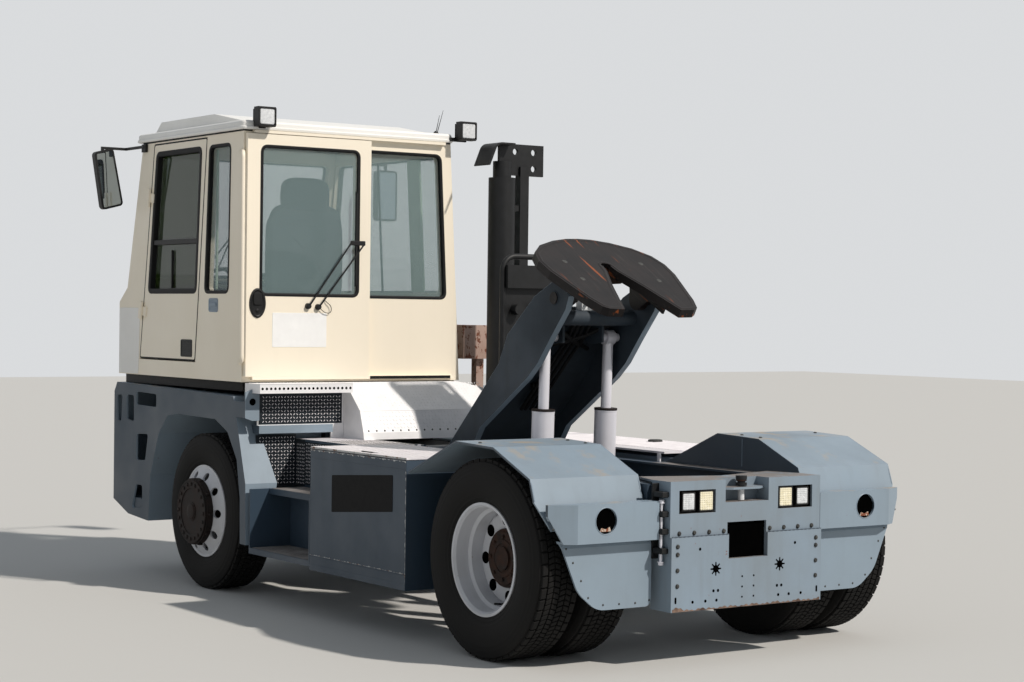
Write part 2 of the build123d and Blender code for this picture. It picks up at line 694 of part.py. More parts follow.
# Front fenders: body side with its wheel arch, top, arch liner and the guard behind the wheel
side_rear = [(-667, 349), (-657, 730), (-546, 1077), (-483, 1268)]
side_front = [(-45, 1300), (0, 1235), (-1, 482), (-247, 396), (-547, 375)]
arch = [(757, 300), (732, 687), (607, 974), (467, 1105), (327, 1122), (-232, 1114), (-406, 1041), (-536, 874)]
arch = arch + [(-583, 638), (-591, 300)]
hollow_front = [(-25, 500), (-25, 1225), (-75, 1280)]
hollow_rear = [(-443, 1255), (-503, 1140), (-243, 1140), (337, 1145), (482, 1130), (632, 990), (757, 690)]
hollow_rear = hollow_rear + [(777, 500)]
with BuildPart() as front_fender_left:
    outline = [(wheelbase + u, z) for u, z in side_rear] + [(body_front + u, z) for u, z in side_front]
    side_plate(outline, half_width, half_width - side_inner)
    arch_line = [(wheelbase + u, z) for u, z in arch]
    side_plate(arch_line, half_width + 5, half_width - side_inner + 10, Mode.SUBTRACT)
    side_plate(
        [(body_front + u, z) for u, z in hollow_front] + [(wheelbase + u, z) for u, z in hollow_rear],
        half_width - sheet,
        half_width - side_inner,
        Mode.SUBTRACT,
    )
    guard_cut = [(223, 731), (154, 1031), (650, 1031), (650, 300), (98, 300), (98, 355), (213, 663)]
    cross_plate([(half_width - inset, z) for inset, z in guard_cut], wheelbase - 743, 250, Mode.SUBTRACT)
front_fender_right = other_side(front_fender_left)

# The left one also has three step pockets in its side
step_pockets = [
    [(-685, 1150), (-365, 1155), (-365, 1245), (-685, 1238)],
    [(-515, 780), (-375, 776), (-375, 955), (-560, 963)],
    [(-475, 451), (-305, 440), (-375, 608), (-475, 608)],
    [(-328, 1035), (-210, 1050), (-205, 1218), (-325, 1218)],
    [(-118, 1030), (-55, 1030), (-40, 1212), (-136, 1214)],
]
with front_fender_left:
    for pocket in step_pockets:
        side_plate([(body_front + u, z) for u, z in pocket], half_width + 1, sheet + 2, Mode.SUBTRACT, 20)
    for level, u_low, u_high in ((755, -560, -305), (500, -530, -295)):
        tread = (half_width - 180, half_width - sheet)
        block((body_front + u_low, body_front + u_high), tread, (level, level + sheet))
    block((cab_rear - 115, cab_rear - 10), (side_inner, half_width - 100), (1040, 1090))
    bracket = [(-100, 1122), (-50, 1122), (0, 1140), (0, 1300), (-49, 1318), (-49, 1294), (-100, 1294)]
    cross_plate([(half_width + v, z) for v, z in bracket], cab_rear - 115, sheet)
    bar("x", (cab_rear - 109, half_width - 52, 1240), 22, 30, Mode.SUBTRACT)
    block((cab_rear - 110, cab_rear + 40), (half_width - sheet, half_width), (1140, 1240))

# Front bumper between the fenders, with the radiator's air slots
grille_slots = 8
grille_low = 780
grille_pitch = 55
with BuildPart() as front_bumper:
    block((bumper_rear, body_front), (-side_inner, side_inner), (380, 1290))
    inside = (-side_inner + sheet, side_inner - sheet)
    block((bumper_rear - 1, body_front - 15), inside, (395, 1275), Mode.SUBTRACT)
    for row in range(grille_slots):
        level = grille_low + grille_pitch * row
        slot = (level, level + grille_pitch / 2)
        block((body_front - 30, body_front + 1), (-420, 420), slot, Mode.SUBTRACT)

# Step below the rear door with its riser
with BuildPart() as cab_step:
    cab_step_right, cab_step_left = 532, 1200
    block((cab_rear - 215, cab_rear - 15), (cab_step_right, cab_step_left), (1295, 1355))
    step_inside = (cab_step_right + sheet, cab_step_left - sheet)
    block((cab_rear - 203, cab_rear - 100), step_inside, (1290, 1343), Mode.SUBTRACT)
    block((cab_rear - 95, cab_rear - 80), (cab_step_right, half_width - 100), (1090, 1295))
    block((cab_rear - 95, cab_rear - 80), (cab_step_right, side_inner), (deck_z, 1090))

# Engine cover: sloping tread plate from the cab floor to the deck
with BuildPart() as engine_cover:
    cover_left, cover_right = 530, -504
    cover_line = [(-355, 0), (-348, 44), (-301, 181), (-115, 355), (-15, 355), (-15, 0)]
    hollow_line = [(-343, -1), (-337, 40), (-291, 174), (-110, 343), (-14, 343), (-14, -1)]
    side_plate([(cab_rear + u, deck_z + h) for u, h in cover_line], cover_left, cover_left - cover_right)
    side_plate(
        [(cab_rear + u, deck_z + h) for u, h in hollow_line],
        cover_left - sheet,
        cover_left - cover_right - 2 * sheet,
        Mode.SUBTRACT,
    )
    corner_cut = [(cover_right - 1, 1317), (cover_right + 170, 1356), (cover_right - 1, 1356)]
    cross_plate(corner_cut, cab_rear - 400, 400, Mode.SUBTRACT)
    block((cab_rear - 315, cab_rear - 115), (cover_right, cover_right + 50), (rail_top, deck_z + 1))

# Exhaust stack and silencer on the right of the cab
stack_x, stack_y, stack_radius = cab_rear - 215, -(side_inner - 20), 90
with BuildPart() as exhaust_stack:
    bar("z", (stack_x, stack_y, (deck_z + 2720) / 2), stack_radius, 2720 - deck_z)
    bar("z", (stack_x, stack_y, 2770), 62, 120)
    bar("z", (stack_x, stack_y, 2800), 50, 100, Mode.SUBTRACT)
    block((stack_x - 30, stack_x + 30), (-800, -730), (deck_z, 2800))
    block((stack_x - 22, stack_x + 22), (-760, -660), (1500, 1540))
    block((stack_x - 22, stack_x + 22), (-760, -660), (2500, 2540))
    block((stack_x - 12, stack_x + 12), (-930, -570), (2740, 2950))
    for y_hole, z_hole in ((-700, 2900), (-850, 2900), (-850, 2790)):
        bar("x", (stack_x, y_hole, z_hole), 22, 40, Mode.SUBTRACT)
    with BuildSketch(Plane.YZ.offset(stack_x - 90)) as flap:
        with BuildLine():
            FilletPolyline((-640, 2944), (-500, 2944), (-440, 2800), radius=60)
            offset(amount=6)
        make_face()
    extrude(flap.sketch, amount=180)

with BuildPart() as silencer:
    box_low, box_right, box_left = 1500, -(side_inner + 130), -(side_inner - 80)
    block((cab_rear + 135, cab_rear + 1035), (box_right, box_left), (box_low, box_low + 230))
    top_rear, top_front_end = side_rear[-1], side_front[0]
    top_slope = (top_front_end[1] - top_rear[1]) / (body_front + top_front_end[0] - wheelbase - top_rear[0])
    for x_leg in (cab_rear + 185, cab_rear + 885):
        fender_top = top_rear[1] + (x_leg + 60 - wheelbase - top_rear[0]) * top_slope
        block((x_leg, x_leg + 60), (box_right + 10, box_right + 70), (fender_top + 0.2, box_low))

# Service stand behind the cab for the trailer lines
stand_x = 1850
stand_left = -170
stand_top = 2175
with BuildPart() as service_stand:
    with BuildLine():
        FilletPolyline(
            (stand_x, stand_left, deck_z - 100),
            (stand_x, stand_left, stand_top),
            (stand_x, -600, stand_top),
            (stand_x, -600, deck_z),
            radius=90,
        )
    with BuildSketch(Plane(origin=(stand_x, stand_left, deck_z - 100), z_dir=(0, 0, 1))):
        Circle(19)
    sweep()
    block((stand_x - 5, stand_x + 5), (-590, stand_left - 10), (1300, 1975))
    block((stand_x - 45, stand_x + 5), (-560, stand_left - 10), (1975, 2120))
    for y_socket, z_socket in ((-260, 1840), (-420, 1840)):
        bar("x", (stand_x - 35, y_socket, z_socket), 34, 60)

# Cab shell: each wall is a separate panel; the right wall leans in towards the roof
cab_side = [
    (cab_rear, cab_floor_z),
    (cab_front, cab_floor_z),
    (cab_front, 1860),
    (cab_front - 130, 1960),
    (cab_front - 370, cab_eave),
    (cab_rear, cab_eave),
]
cab_section = [
    (cab_right + wall, cab_floor_z),
    (cab_left - wall, cab_floor_z),
    (cab_left - wall, cab_eave),
    (cab_right_top + wall, cab_eave),
]
glass = 8
corner = 45
sill_gap = 12
# Outlines seen from the side: distance back from the cab's front, height
door_outline = [(cab_front - u, z) for u, z in ((1195, 1480), (347, 1480), (550, 2925), (1342, 2925))]
door_window = [(cab_front - u, z) for u, z in ((1203, 1925), (472, 1925), (588, 2868), (1265, 2868))]
quarter_window = [(cab_front - u, z) for u, z in ((1661, 1925), (1330, 1925), (1384, 2868), (1677, 2868))]
right_window = [(cab_front - u, z) for u, z in ((1740, 1950), (220, 1950), (420, 2860), (1740, 2860))]
door_opening = [
    (door_outline[0][0] - gap, door_outline[0][1] - sill_gap),
    (door_outline[1][0] + gap, door_outline[1][1] - sill_gap),
    (door_outline[2][0] + gap, door_outline[2][1] + gap),
    (door_outline[3][0] - gap, door_outline[3][1] + gap),
]
hinge_levels = (1800, 2570)


def right_face(level):
    """How far left the cab's right face stands at one height."""
    return cab_right + (cab_right_top - cab_right) * (level - cab_floor_z) / (cab_eave - cab_floor_z)


def leaning_slab(inset, thickness):
    """Slab parallel to the cab's right face."""
    outer = [(right_face(level) + inset, level) for level in (cab_floor_z, cab_eave)]
    inner = [(y + thickness, level) for y, level in outer[::-1]]
    cross_plate(outer + inner, cab_rear, cab_front - cab_rear)


def hinge_plane(level):
    """Plane on the side door's leaning hinge line, z along it, at one height."""
    run, rise = door_outline[2][0] - door_outline[1][0], door_outline[2][1] - door_outline[1][1]
    long = hypot(run, rise)
    x_line = door_outline[1][0] + gap / 2 + (level - door_outline[1][1]) * run / rise
    return Plane(
        origin=(x_line, cab_left + 13, level),
        x_dir=(rise / long, 0, -run / long),
        z_dir=(run / long, 0, rise / long),
    )


with BuildPart() as cab_left_wall:
    side_plate(cab_side, cab_left, wall)
    side_plate(door_opening, cab_left + 1, wall + 2, Mode.SUBTRACT)
    side_plate(quarter_window, cab_left + 1, wall + 2, Mode.SUBTRACT, corner)
    for level in hinge_levels:
        with Locations(hinge_plane(level)):
            block((14, 60), (-13, -5), (-60, 60))
            for end in (1, -1):
                block((0, 20), (-13, -5), sorted((end * 32, end * 60)))
                bar("z", (0, 0, end * 46), 11, 28)
            bar("z", (0, 0, 0), 5, 100)

with BuildPart() as cab_right_wall:
    leaning_slab(0, wall)
    side_plate(cab_side, 0, -2 * cab_right, Mode.INTERSECT)
    side_plate(right_window, 0, -2 * cab_right, Mode.SUBTRACT, corner)

rear_window_right = [(-300, 1909), (350, 1909), (350, 2860), (-248, 2860)]
rear_doorway = [(390, 1440), (1120, 1440), (1120, 2880), (390, 2880)]
rear_door_out = 36
with BuildPart() as cab_rear_wall:
    cross_plate(cab_section, cab_rear, wall)
    cross_plate(rear_window_right, cab_rear - 1, wall + 2, Mode.SUBTRACT, corner)
    cross_plate(rear_doorway, cab_rear - 1, wall + 2, Mode.SUBTRACT)
    for z_low, z_high in ((1375, 1395), (2930, 2948)):
        ledge = (right_face(z_high) + wall, cab_left - wall)
        block((cab_rear - rear_door_out, cab_rear), ledge, (z_low, z_high))

windscreen_lean = radians(13.6)
windscreen_plane = Plane(
    origin=(cab_front - 250, 437, 2455),
    x_dir=(0, 1, 0),
    z_dir=(cos(windscreen_lean), 0, sin(windscreen_lean)),
)
windscreen_wide, windscreen_high = cab_left - cab_right - 305, 860
with BuildPart() as cab_front_wall:
    inner_wide = cab_left - cab_right - 2 * wall
    block((cab_front - wall, cab_front), (cab_right + wall, cab_left - wall), (cab_floor_z, 1860))
    front_line = [(-60, 1800), (0, 1860), (-130, 1960), (-370, cab_eave), (-432, cab_eave), (-185, 1930)]
    side_plate([(cab_front + u, z) for u, z in front_line], cab_left - wall, inner_wide)
    with BuildSketch(windscreen_plane):
        RectangleRounded(windscreen_wide, windscreen_high, corner)
    extrude(amount=150, both=True, mode=Mode.SUBTRACT)
    cross_plate(cab_section, cab_rear, cab_front - cab_rear, Mode.INTERSECT)

with BuildPart() as cab_floor:
    between_walls = (cab_right + wall, cab_left - wall)
    block((cab_rear + wall, cab_front - wall), between_walls, (cab_floor_z, cab_floor_z + 50))
    cross_plate(cab_section, cab_rear, cab_front - cab_rear, Mode.INTERSECT)
    for x_mount in (cab_rear + 85, cab_front - 370):
        for y_mount in (-260, 510):
            block((x_mount - 20, x_mount + 20), (y_mount - 40, y_mount + 40), (1300, cab_floor_z))

# Roof: a slab with rounded upper edges and a raised middle that rises from the rear
roof_right, roof_left = cab_right_top - 10, cab_left + 18
roof_rear, roof_front = cab_rear - 25, cab_front - 300
with BuildPart() as cab_roof:
    block((roof_rear, roof_front), (roof_right, roof_left), (cab_eave, 3008))
    fillet(cab_roof.edges().filter_by(Axis.Z), 40)
    fillet(cab_roof.faces().sort_by(Axis.Z)[-1].edges(), 18)
    raised_line = [(60, 3000), (560, 3085), (1360, 3085), (1470, 3000)]
    side_plate([(roof_rear + u, z) for u, z in raised_line], roof_left - 80, roof_left - roof_right - 160)
    ceiling = (cab_right_top + wall, cab_left - wall)
    block((cab_rear + 65, cab_front - 420), ceiling, (cab_eave - 1, 2990), Mode.SUBTRACT)

with BuildPart() as right_pane:
    leaning_slab(26, glass)
    side_plate(right_window, 0, -2 * cab_right, Mode.INTERSECT, corner)

with BuildPart() as cab_glass:
    side_plate(quarter_window, cab_left - 25, glass, radius=corner)
    cross_plate(rear_window_right, cab_rear + 25, glass, radius=corner)
    with BuildSketch(windscreen_plane):
        RectangleRounded(windscreen_wide, windscreen_high, corner)
    extrude(amount=-glass)
    add(right_pane.part)

# Side door, hinged at its front edge
with BuildPart() as side_door:
    side_plate(door_outline, cab_left, door_thick)
    side_plate(door_window, cab_left + 1, door_thick + 2, Mode.SUBTRACT, corner)
    block((cab_front - 1245, cab_front - 500), (cab_left - 32, cab_left - 12), (2250, 2275))
    for level in hinge_levels:
        with Locations(hinge_plane(level)):
            block((-60, 0), (-13, -5), (-31, 31))
            bar("z", (0, 0, 0), 11, 62)
            bar("z", (0, 0, 0), 5 + running, 80, Mode.SUBTRACT)

with BuildPart() as side_door_glass:
    side_plate(door_window, cab_left - 34, glass, radius=corner)

# Sliding rear door
rear_door_window = [(400, 1912), (1110, 1912), (1110, 2850), (400, 2850)]
rear_door_thick = rear_door_out - 6
with BuildPart() as rear_door:
    door_face = [(310, 1395.3), (1210, 1395.3), (1210, 2925), (310, 2925)]
    cross_plate(door_face, cab_rear - rear_door_out, rear_door_thick)
    cross_plate(rear_door_window, cab_rear - rear_door_out - 1, rear_door_thick + 2, Mode.SUBTRACT, corner)

with BuildPart() as rear_door_glass:
    cross_plate(rear_door_window, cab_rear - rear_door_out + 11, glass, radius=corner)

# Cab inside
with BuildPart() as driver_seat:
    block((cab_rear + 375, cab_rear + 885), (320, 840), (1800, 1920))
    back_line = [(300, 1860), (860, 1860), (850, 2500), (790, 2690), (370, 2690), (310, 2500)]
    cross_plate(back_line, cab_rear + 285, 110, radius=55)
    block((cab_rear + 535, cab_rear + 835), (430, 730), (cab_floor_z + 50, 1800))

with BuildPart() as dashboard:
    wheel_x = cab_front - 520
    block((cab_front - 420, cab_front - 140), (150, 990), (cab_floor_z + 50, 1830))
    with Locations(Location((wheel_x, 570, 2000), (0, -30, 0))):
        Torus(200, 14)
        Box(400, 26, 12)
        Box(26, 400, 12)
    with Locations(Location((wheel_x, 570, 2000), (0, -30, 0)) * Location((0, 0, -165))):
        Cylinder(22, 330)

# Mirrors on arms from the cab's front corners; the left head leans
left_head = [(mirror_edge, 2887), (1340, 2922), (1261, 2531), (1416, 2490)]
right_head = [(-990, 2880), (-810, 2880), (-810, 2500), (-990, 2500)]
mirror_heads = [
    (1, [cab_left, cab_left], cab_front - 112, left_head),
    (-1, [right_face(2884), right_face(2938)], cab_front - 70, right_head),
]
with BuildPart() as mirrors:
    for side, foot, x_glass, head in mirror_heads:
        y_arm = foot[0] + side * 15
        y_post = (head[0][0] + head[1][0]) / 2
        bracket = [(foot[0], 2884), (foot[1], 2938), (foot[1] + side * 20, 2938), (foot[0] + side * 20, 2884)]
        cross_plate(bracket, cab_front - 440, 60)
        block((cab_front - 420, x_glass + 10), sorted((y_arm - 9, y_arm + 9)), (2912, 2930))
        block((x_glass - 9, x_glass + 9), sorted((y_arm - side * 9, y_post + side * 9)), (2912, 2930))
        block((x_glass - 9, x_glass + 9), (y_post - 9, y_post + 9), (2860, 2920))
        cross_plate(head, x_glass - 25, 50, radius=28)

# Export: from the rear axle's frame to the one under the middle of the whole
middle = Location((-(body_front + body_rear - 14) / 2, -(mirror_edge - hub_face) / 2, 0))
pieces = {
    "chassis_frame": chassis_frame,
    "rear_bulkhead": rear_bulkhead,
    "rear_towing_pin": rear_towing_pin,
    "rear_fender_left": rear_fender_left,
    "rear_fender_right": rear_fender_right,
    "lamps": lamps,
    "rear_axle": rear_axle,
    "front_axle": front_axle,
    "knuckle_left": knuckle_left,
    "knuckle_right": knuckle_right,
    "propshafts": propshafts,
    "engine_block": engine_block,
    "rims_rear_left": rims_rear_left,
    "rims_rear_right": rims_rear_right,
    "tyres_rear_left": tyres_rear_left,
    "tyres_rear_right": tyres_rear_right,
    "hub_rear_left": hub_rear_left,
    "hub_rear_right": hub_rear_right,
    "rim_front_left": rim_front_left,
    "rim_front_right": rim_front_right,
    "tyre_front_left": tyre_front_left,
    "tyre_front_right": tyre_front_right,
    "hub_front_left": hub_front_left,
    "hub_front_right": hub_front_right,
    "boom": boom,
    "fifth_wheel": fifth_wheel,
    "lift_barrel_left": lift_barrel_left,
    "lift_barrel_right": lift_barrel_right,
    "lift_sleeve_left": lift_sleeve_left,
    "lift_sleeve_right": lift_sleeve_right,
    "lift_rod_left": lift_rod_left,
    "lift_rod_right": lift_rod_right,
    "battery_box": battery_box,
    "battery_lid": battery_lid,
    "batteries": batteries,
    "tanks": tanks,
    "deck_plates": deck_plates,
    "entry_steps": entry_steps,
    "front_fender_left": front_fender_left,
    "front_fender_right": front_fender_right,
    "front_bumper": front_bumper,
    "cab_step": cab_step,
    "engine_cover": engine_cover,
    "exhaust_stack": exhaust_stack,
    "silencer": silencer,
    "service_stand": service_stand,
    "cab_left_wall": cab_left_wall,
    "cab_right_wall": cab_right_wall,
    "cab_rear_wall": cab_rear_wall,
    "cab_front_wall": cab_front_wall,
    "cab_floor": cab_floor,
    "cab_roof": cab_roof,
    "cab_glass": cab_glass,
    "side_door": side_door,
    "side_door_glass": side_door_glass,
    "rear_door": rear_door,
    "rear_door_glass": rear_door_glass,
    "driver_seat": driver_seat,
    "dashboard": dashboard,
    "mirrors": mirrors,
}
for name, build in pieces.items():
    piece = build.part.moved(middle)
    piece.label = name
    export_step(piece, f"parts/{name}.step")
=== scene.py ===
"""Looks of the terminal tractor: finishes, tyres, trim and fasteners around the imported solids."""

import json
from math import cos, pi, radians, sin

import bpy
import numpy as np
from mathutils import Matrix, Vector


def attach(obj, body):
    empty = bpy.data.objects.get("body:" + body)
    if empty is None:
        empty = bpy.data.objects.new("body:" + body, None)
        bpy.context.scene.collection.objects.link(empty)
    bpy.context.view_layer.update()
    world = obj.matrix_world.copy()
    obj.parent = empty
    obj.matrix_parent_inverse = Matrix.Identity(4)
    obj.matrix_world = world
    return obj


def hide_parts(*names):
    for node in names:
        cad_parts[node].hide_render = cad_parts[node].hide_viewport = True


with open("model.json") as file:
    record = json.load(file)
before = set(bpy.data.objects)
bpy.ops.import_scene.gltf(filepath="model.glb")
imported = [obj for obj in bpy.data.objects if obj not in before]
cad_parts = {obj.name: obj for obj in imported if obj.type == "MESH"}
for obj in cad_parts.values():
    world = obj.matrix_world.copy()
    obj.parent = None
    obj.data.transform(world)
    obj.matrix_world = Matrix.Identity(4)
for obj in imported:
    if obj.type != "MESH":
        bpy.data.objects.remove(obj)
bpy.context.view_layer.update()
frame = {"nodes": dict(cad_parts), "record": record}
nodes = frame["nodes"]

# Place of the rear axle and the tractor's centreline in the shared frame, in metres
SHIFT = np.array([-1.9305, -0.09, 0.0])

# Camera: a 73 mm lens behind the left rear corner, at a standing person's eye level, held a little askew
CAMERA_PLACE = SHIFT + (-8.938, 7.241, 1.819)
LENS_MM, SENSOR_MM, ROLL = 72.77, 36.0, 0.013
camera_data = bpy.data.cameras.new("camera")
camera_data.lens = LENS_MM
camera_data.sensor_width = SENSOR_MM
camera_data.clip_end = 200.0
camera = bpy.data.objects.new("camera", camera_data)
bpy.context.collection.objects.link(camera)
forward = Vector((0.82140, -0.57018, -0.01368)).normalized()
side = forward.cross(Vector((0, 0, 1))).normalized()
above = side.cross(forward)
right = cos(ROLL) * side + sin(ROLL) * above
up = -sin(ROLL) * side + cos(ROLL) * above
turn = Matrix((right, up, -forward)).transposed().to_4x4()
camera.matrix_world = Matrix.Translation(Vector(CAMERA_PLACE)) @ turn
bpy.context.scene.camera = camera
bpy.context.scene.view_settings.view_transform = "Standard"


def linear(hex_colour):
    """An sRGB hex colour as linear RGBA: the power law of the sRGB standard on each channel."""
    parts = [int(hex_colour[i:i + 2], 16) / 255 for i in (1, 3, 5)]
    return tuple(c / 12.92 if c <= 0.04045 else ((c + 0.055) / 1.055) ** 2.4 for c in parts) + (1.0,)


def add(tree, kind, inputs=(), out=0, stops=(), **settings):
    """Adds a node. Each input is given a value, a hex colour or a link from another node's socket, and a
    colour ramp its two stops. Returns one of the node's output sockets."""
    node = tree.nodes.new(kind)
    for name, value in settings.items():
        setattr(node, name, value)
    for key, value in dict(inputs).items():
        if isinstance(value, bpy.types.NodeSocket):
            tree.links.new(value, node.inputs[key])
        else:
            node.inputs[key].default_value = linear(value) if isinstance(value, str) else value
    for stop, (place, colour) in enumerate(stops):
        node.color_ramp.elements[stop].position = place
        node.color_ramp.elements[stop].color = linear(colour)
    return node.outputs[out] if node.outputs else None


COORDINATES, GEOMETRY, MAPPING = "ShaderNodeTexCoord", "ShaderNodeNewGeometry", "ShaderNodeMapping"
NOISE, RAMP, MIX, MATH = "ShaderNodeTexNoise", "ShaderNodeValToRGB", "ShaderNodeMix", "ShaderNodeMath"
RANGE, BUMP, SPLIT = "ShaderNodeMapRange", "ShaderNodeBump", "ShaderNodeSeparateXYZ"
SURFACE, OUTPUT = "ShaderNodeBsdfPrincipled", "ShaderNodeOutputMaterial"
COLOUR = dict(data_type="RGBA", out=2)
BLACK, WHITE = "#000000", "#FFFFFF"


def new_tree(name):
    """An empty material with nodes; returns the material and its node tree."""
    material = bpy.data.materials.new(name)
    material.use_nodes = True
    material.node_tree.nodes.clear()
    return material, material.node_tree


def finish_with(tree, inputs):
    """Ends a material: its surface shader with the given inputs, and the output."""
    add(tree, OUTPUT, {0: add(tree, SURFACE, inputs)})


def grain(tree, size_mm, detail=4.0, stretch=(1, 1, 1), roughness=0.55, tilt=0.0):
    """A pattern of patches on the object's own coordinates: patches a given size in millimetres, drawn out
    along an axis whose stretch is below one, with the coordinates first turned about the axle's direction."""
    place = add(tree, COORDINATES, out="Object")
    if tilt:
        place = add(tree, MAPPING, {0: place, 2: (0, tilt, 0)})
    place = add(tree, MAPPING, {0: place, 3: stretch})
    return add(tree, NOISE, {0: place, "Scale": 1000 / size_mm, "Detail": detail, "Roughness": roughness})


# Patch sizes in millimetres on painted sheet: dust, water runs, settled dirt, stone chips and orange peel.
# The last is drawn some ten times as coarse as it is, so that it shows.
DUST_MM, RUN_MM, DIRT_MM, CHIP_MM, PEEL_MM = 454.5, 71.43, 200.0, 38.46, 11.11


def painted(name, main, dusty, rust, share, grime=0.45, gloss=0.38, settled=None, cover=0.5, side_shade_colour=None):
    """Sprayed enamel on steel: even gloss, dust that gathers in broad soft patches, streaks that run
    down, small chips where rust shows, and dirt settled in patches where a face looks up. A side shade
    colour, if given, is painted shade on the faces that look across the tractor."""
    material, tree = new_tree(name)
    dust = add(tree, RAMP, {0: grain(tree, DUST_MM, 6)}, stops=((0.35, BLACK), (0.72, WHITE)))
    streak = add(tree, RAMP, {0: grain(tree, RUN_MM, 5, (1, 1, 0.09))}, stops=((0.52, BLACK), (0.75, WHITE)))
    chips = grain(tree, CHIP_MM, 8, (1, 1, 0.7), 0.68)
    chips = add(tree, RAMP, {0: chips}, stops=((share, BLACK), (share + 0.03, WHITE)))
    some = add(tree, MATH, {0: dust, 1: grime}, operation="MULTIPLY")
    runs = add(tree, MATH, {0: streak, 1: grime * 0.5}, operation="MULTIPLY")
    base = add(tree, MIX, {0: some, 6: main, 7: dusty}, **COLOUR)
    base = add(tree, MIX, {0: runs, 6: base, 7: dusty}, **COLOUR)
    # Painted shade: faces that look across the tractor take the side shade colour
    if side_shade_colour:
        across = add(tree, SPLIT, {0: add(tree, GEOMETRY, out="Normal")}, out=1)
        across = add(tree, MATH, {0: across}, operation="ABSOLUTE")
        side_shade_mask = add(tree, RAMP, {0: across}, stops=((0.90, BLACK), (0.97, WHITE)))
        base = add(tree, MIX, {0: side_shade_mask, 6: base, 7: side_shade_colour}, **COLOUR)
    if settled:
        upwards = add(tree, SPLIT, {0: add(tree, GEOMETRY, out="Normal")}, out=2)
        lying = add(tree, RAMP, {0: upwards}, stops=((0.8, BLACK), (0.97, WHITE)))
        patch = grain(tree, DIRT_MM, 8, (1, 1, 1), 0.65)
        patch = add(tree, RAMP, {0: patch}, stops=((cover, BLACK), (cover + 0.12, WHITE)))
        both_ways = add(tree, MATH, {0: lying, 1: patch}, operation="MULTIPLY")
        base = add(tree, MIX, {0: both_ways, 6: base, 7: settled}, **COLOUR)
    finish_with(tree, {
        "Base Color": add(tree, MIX, {0: chips, 6: base, 7: rust}, **COLOUR),
        "Roughness": add(tree, RANGE, {0: dust, 3: gloss, 4: gloss + 0.25}),
        "Normal": add(tree, BUMP, {"Height": grain(tree, PEEL_MM, 3), "Strength": 0.05, "Distance": 0.002}),
    })
    return material


def metal(name, dark, light, roughness, metallic, size_mm, bump, specular=0.5):
    """Bare, cast, moulded or woven stuff: two tones in patches, with matching roughness, and a grain a
    twelfth as wide that catches the light."""
    material, tree = new_tree(name)
    tone = grain(tree, size_mm, 7)
    fine = grain(tree, size_mm / 12)
    finish_with(tree, {
        "Base Color": add(tree, RAMP, {0: tone}, stops=((0.3, dark), (0.7, light))),
        "Roughness": add(tree, RANGE, {0: tone, 3: roughness - 0.1, 4: roughness + 0.12}),
        "Metallic": metallic, "Specular IOR Level": specular,
        "Normal": add(tree, BUMP, {"Height": fine, "Strength": bump, "Distance": 0.001}),
    })
    return material


# Enamels sprayed on steel. Slate that chips to brown rust; its darker copies below carry painted shade
RUST = "#6B3A22"
SLATE, SLATE_DIRT = ("#8494A2", "#727C84"), ("#A39786", 0.54)
slate_paint = painted("slate_enamel", *SLATE, RUST, 0.705, 0.4, 0.38, *SLATE_DIRT)
# Painted shade: on the fenders, faces that look across the tractor go dark slate
fender_paint = painted(
    "slate_enamel_with_painted_side_shade", "#8797A4", "#747E85", RUST, 0.705, 0.4, 0.38, *SLATE_DIRT, "#3D4954",
)
# Painted shade: slate darkened to the shade that the battery box, steps and chassis stand in
box_paint = painted("slate_enamel_darkened_for_painted_shade", "#334352", "#2B343D", "#5A3423", 0.70)
# A darker slate on the boom, deepened further as painted shade; its chips and dust are real
boom_paint = painted("boom_slate_enamel_with_painted_shade", "#2C3843", "#22282D", "#4A2D20", 0.68, 0.7, 0.62)
beam_paint = painted(
    "chipped_slate_enamel", SLATE[0], "#717779", "#7A4128", 0.675, 0.5, 0.38, "#77706B", 0.36,
)
# Glossier enamels that are washed more often: warm cream, and white with scuffs where it is touched
cream_paint = painted("cream_enamel", "#F8EEDA", "#E6DCC8", "#8A4A28", 0.80, 0.18, 0.3)
white_paint = painted("white_enamel", "#F4F3EF", "#D9D6CC", "#8A4A28", 0.82, 0.25, 0.3)
worn_white = painted("scuffed_white_enamel", "#DADAD6", "#7C8284", "#6B4A38", 0.55, 0.8, 0.5)
# Primer left bare: chalky pink, half of it rusted through
primer = painted("weathered_primer", "#B39A8E", "#8D6F5E", RUST, 0.55, 0.7, 0.6)
chipped_primer = painted("chipped_primer", "#C9B8A6", "#8D6F5E", "#7A3F22", 0.50, 0.6, 0.6)
# Wheel enamel with aluminium flakes: pale grey, grimy with brake dust
silver_paint = painted("silver_wheel_enamel", "#CDCFD4", "#96938E", "#6B4630", 0.70, 0.4, 0.33)
# Moulded rubber and plastic: near black and dull, the tyres greyer with dust than the seals
tyre_rubber = metal("tyre_rubber", "#0C0C0C", "#181716", 0.78, 0.0, 111.1, 0.25, 0.22)
black_rubber = metal("black_window_rubber", "#070709", "#101011", 0.6, 0.0, 16.67, 0.2, 0.25)
black_plastic = metal("moulded_black_plastic", "#0A0A0B", "#131314", 0.5, 0.0, 16.67, 0.3, 0.35)
# Cast iron with oily rust: rough, dark brown, blotched at the size of a thumb
rusty_iron = metal("rusty_cast_iron", "#17110E", "#3A2419", 0.75, 0.0, 45.45, 0.6, 0.3)
sooty_iron = metal("sooty_cast_iron", "#0F0D0C", "#241915", 0.7, 0.0, 45.45, 0.5, 0.3)
edge_rust = metal("rusted_plate_edge", "#4A3A33", "#8C7668", 0.8, 0.0, 38.46, 0.5, 0.2)
# Zinc-plated bolts, their shine worn to a dull mottled grey
worn_bolt = metal("worn_zinc_bolt", "#1F2124", "#54544F", 0.55, 0.3, 8.333, 0.3)
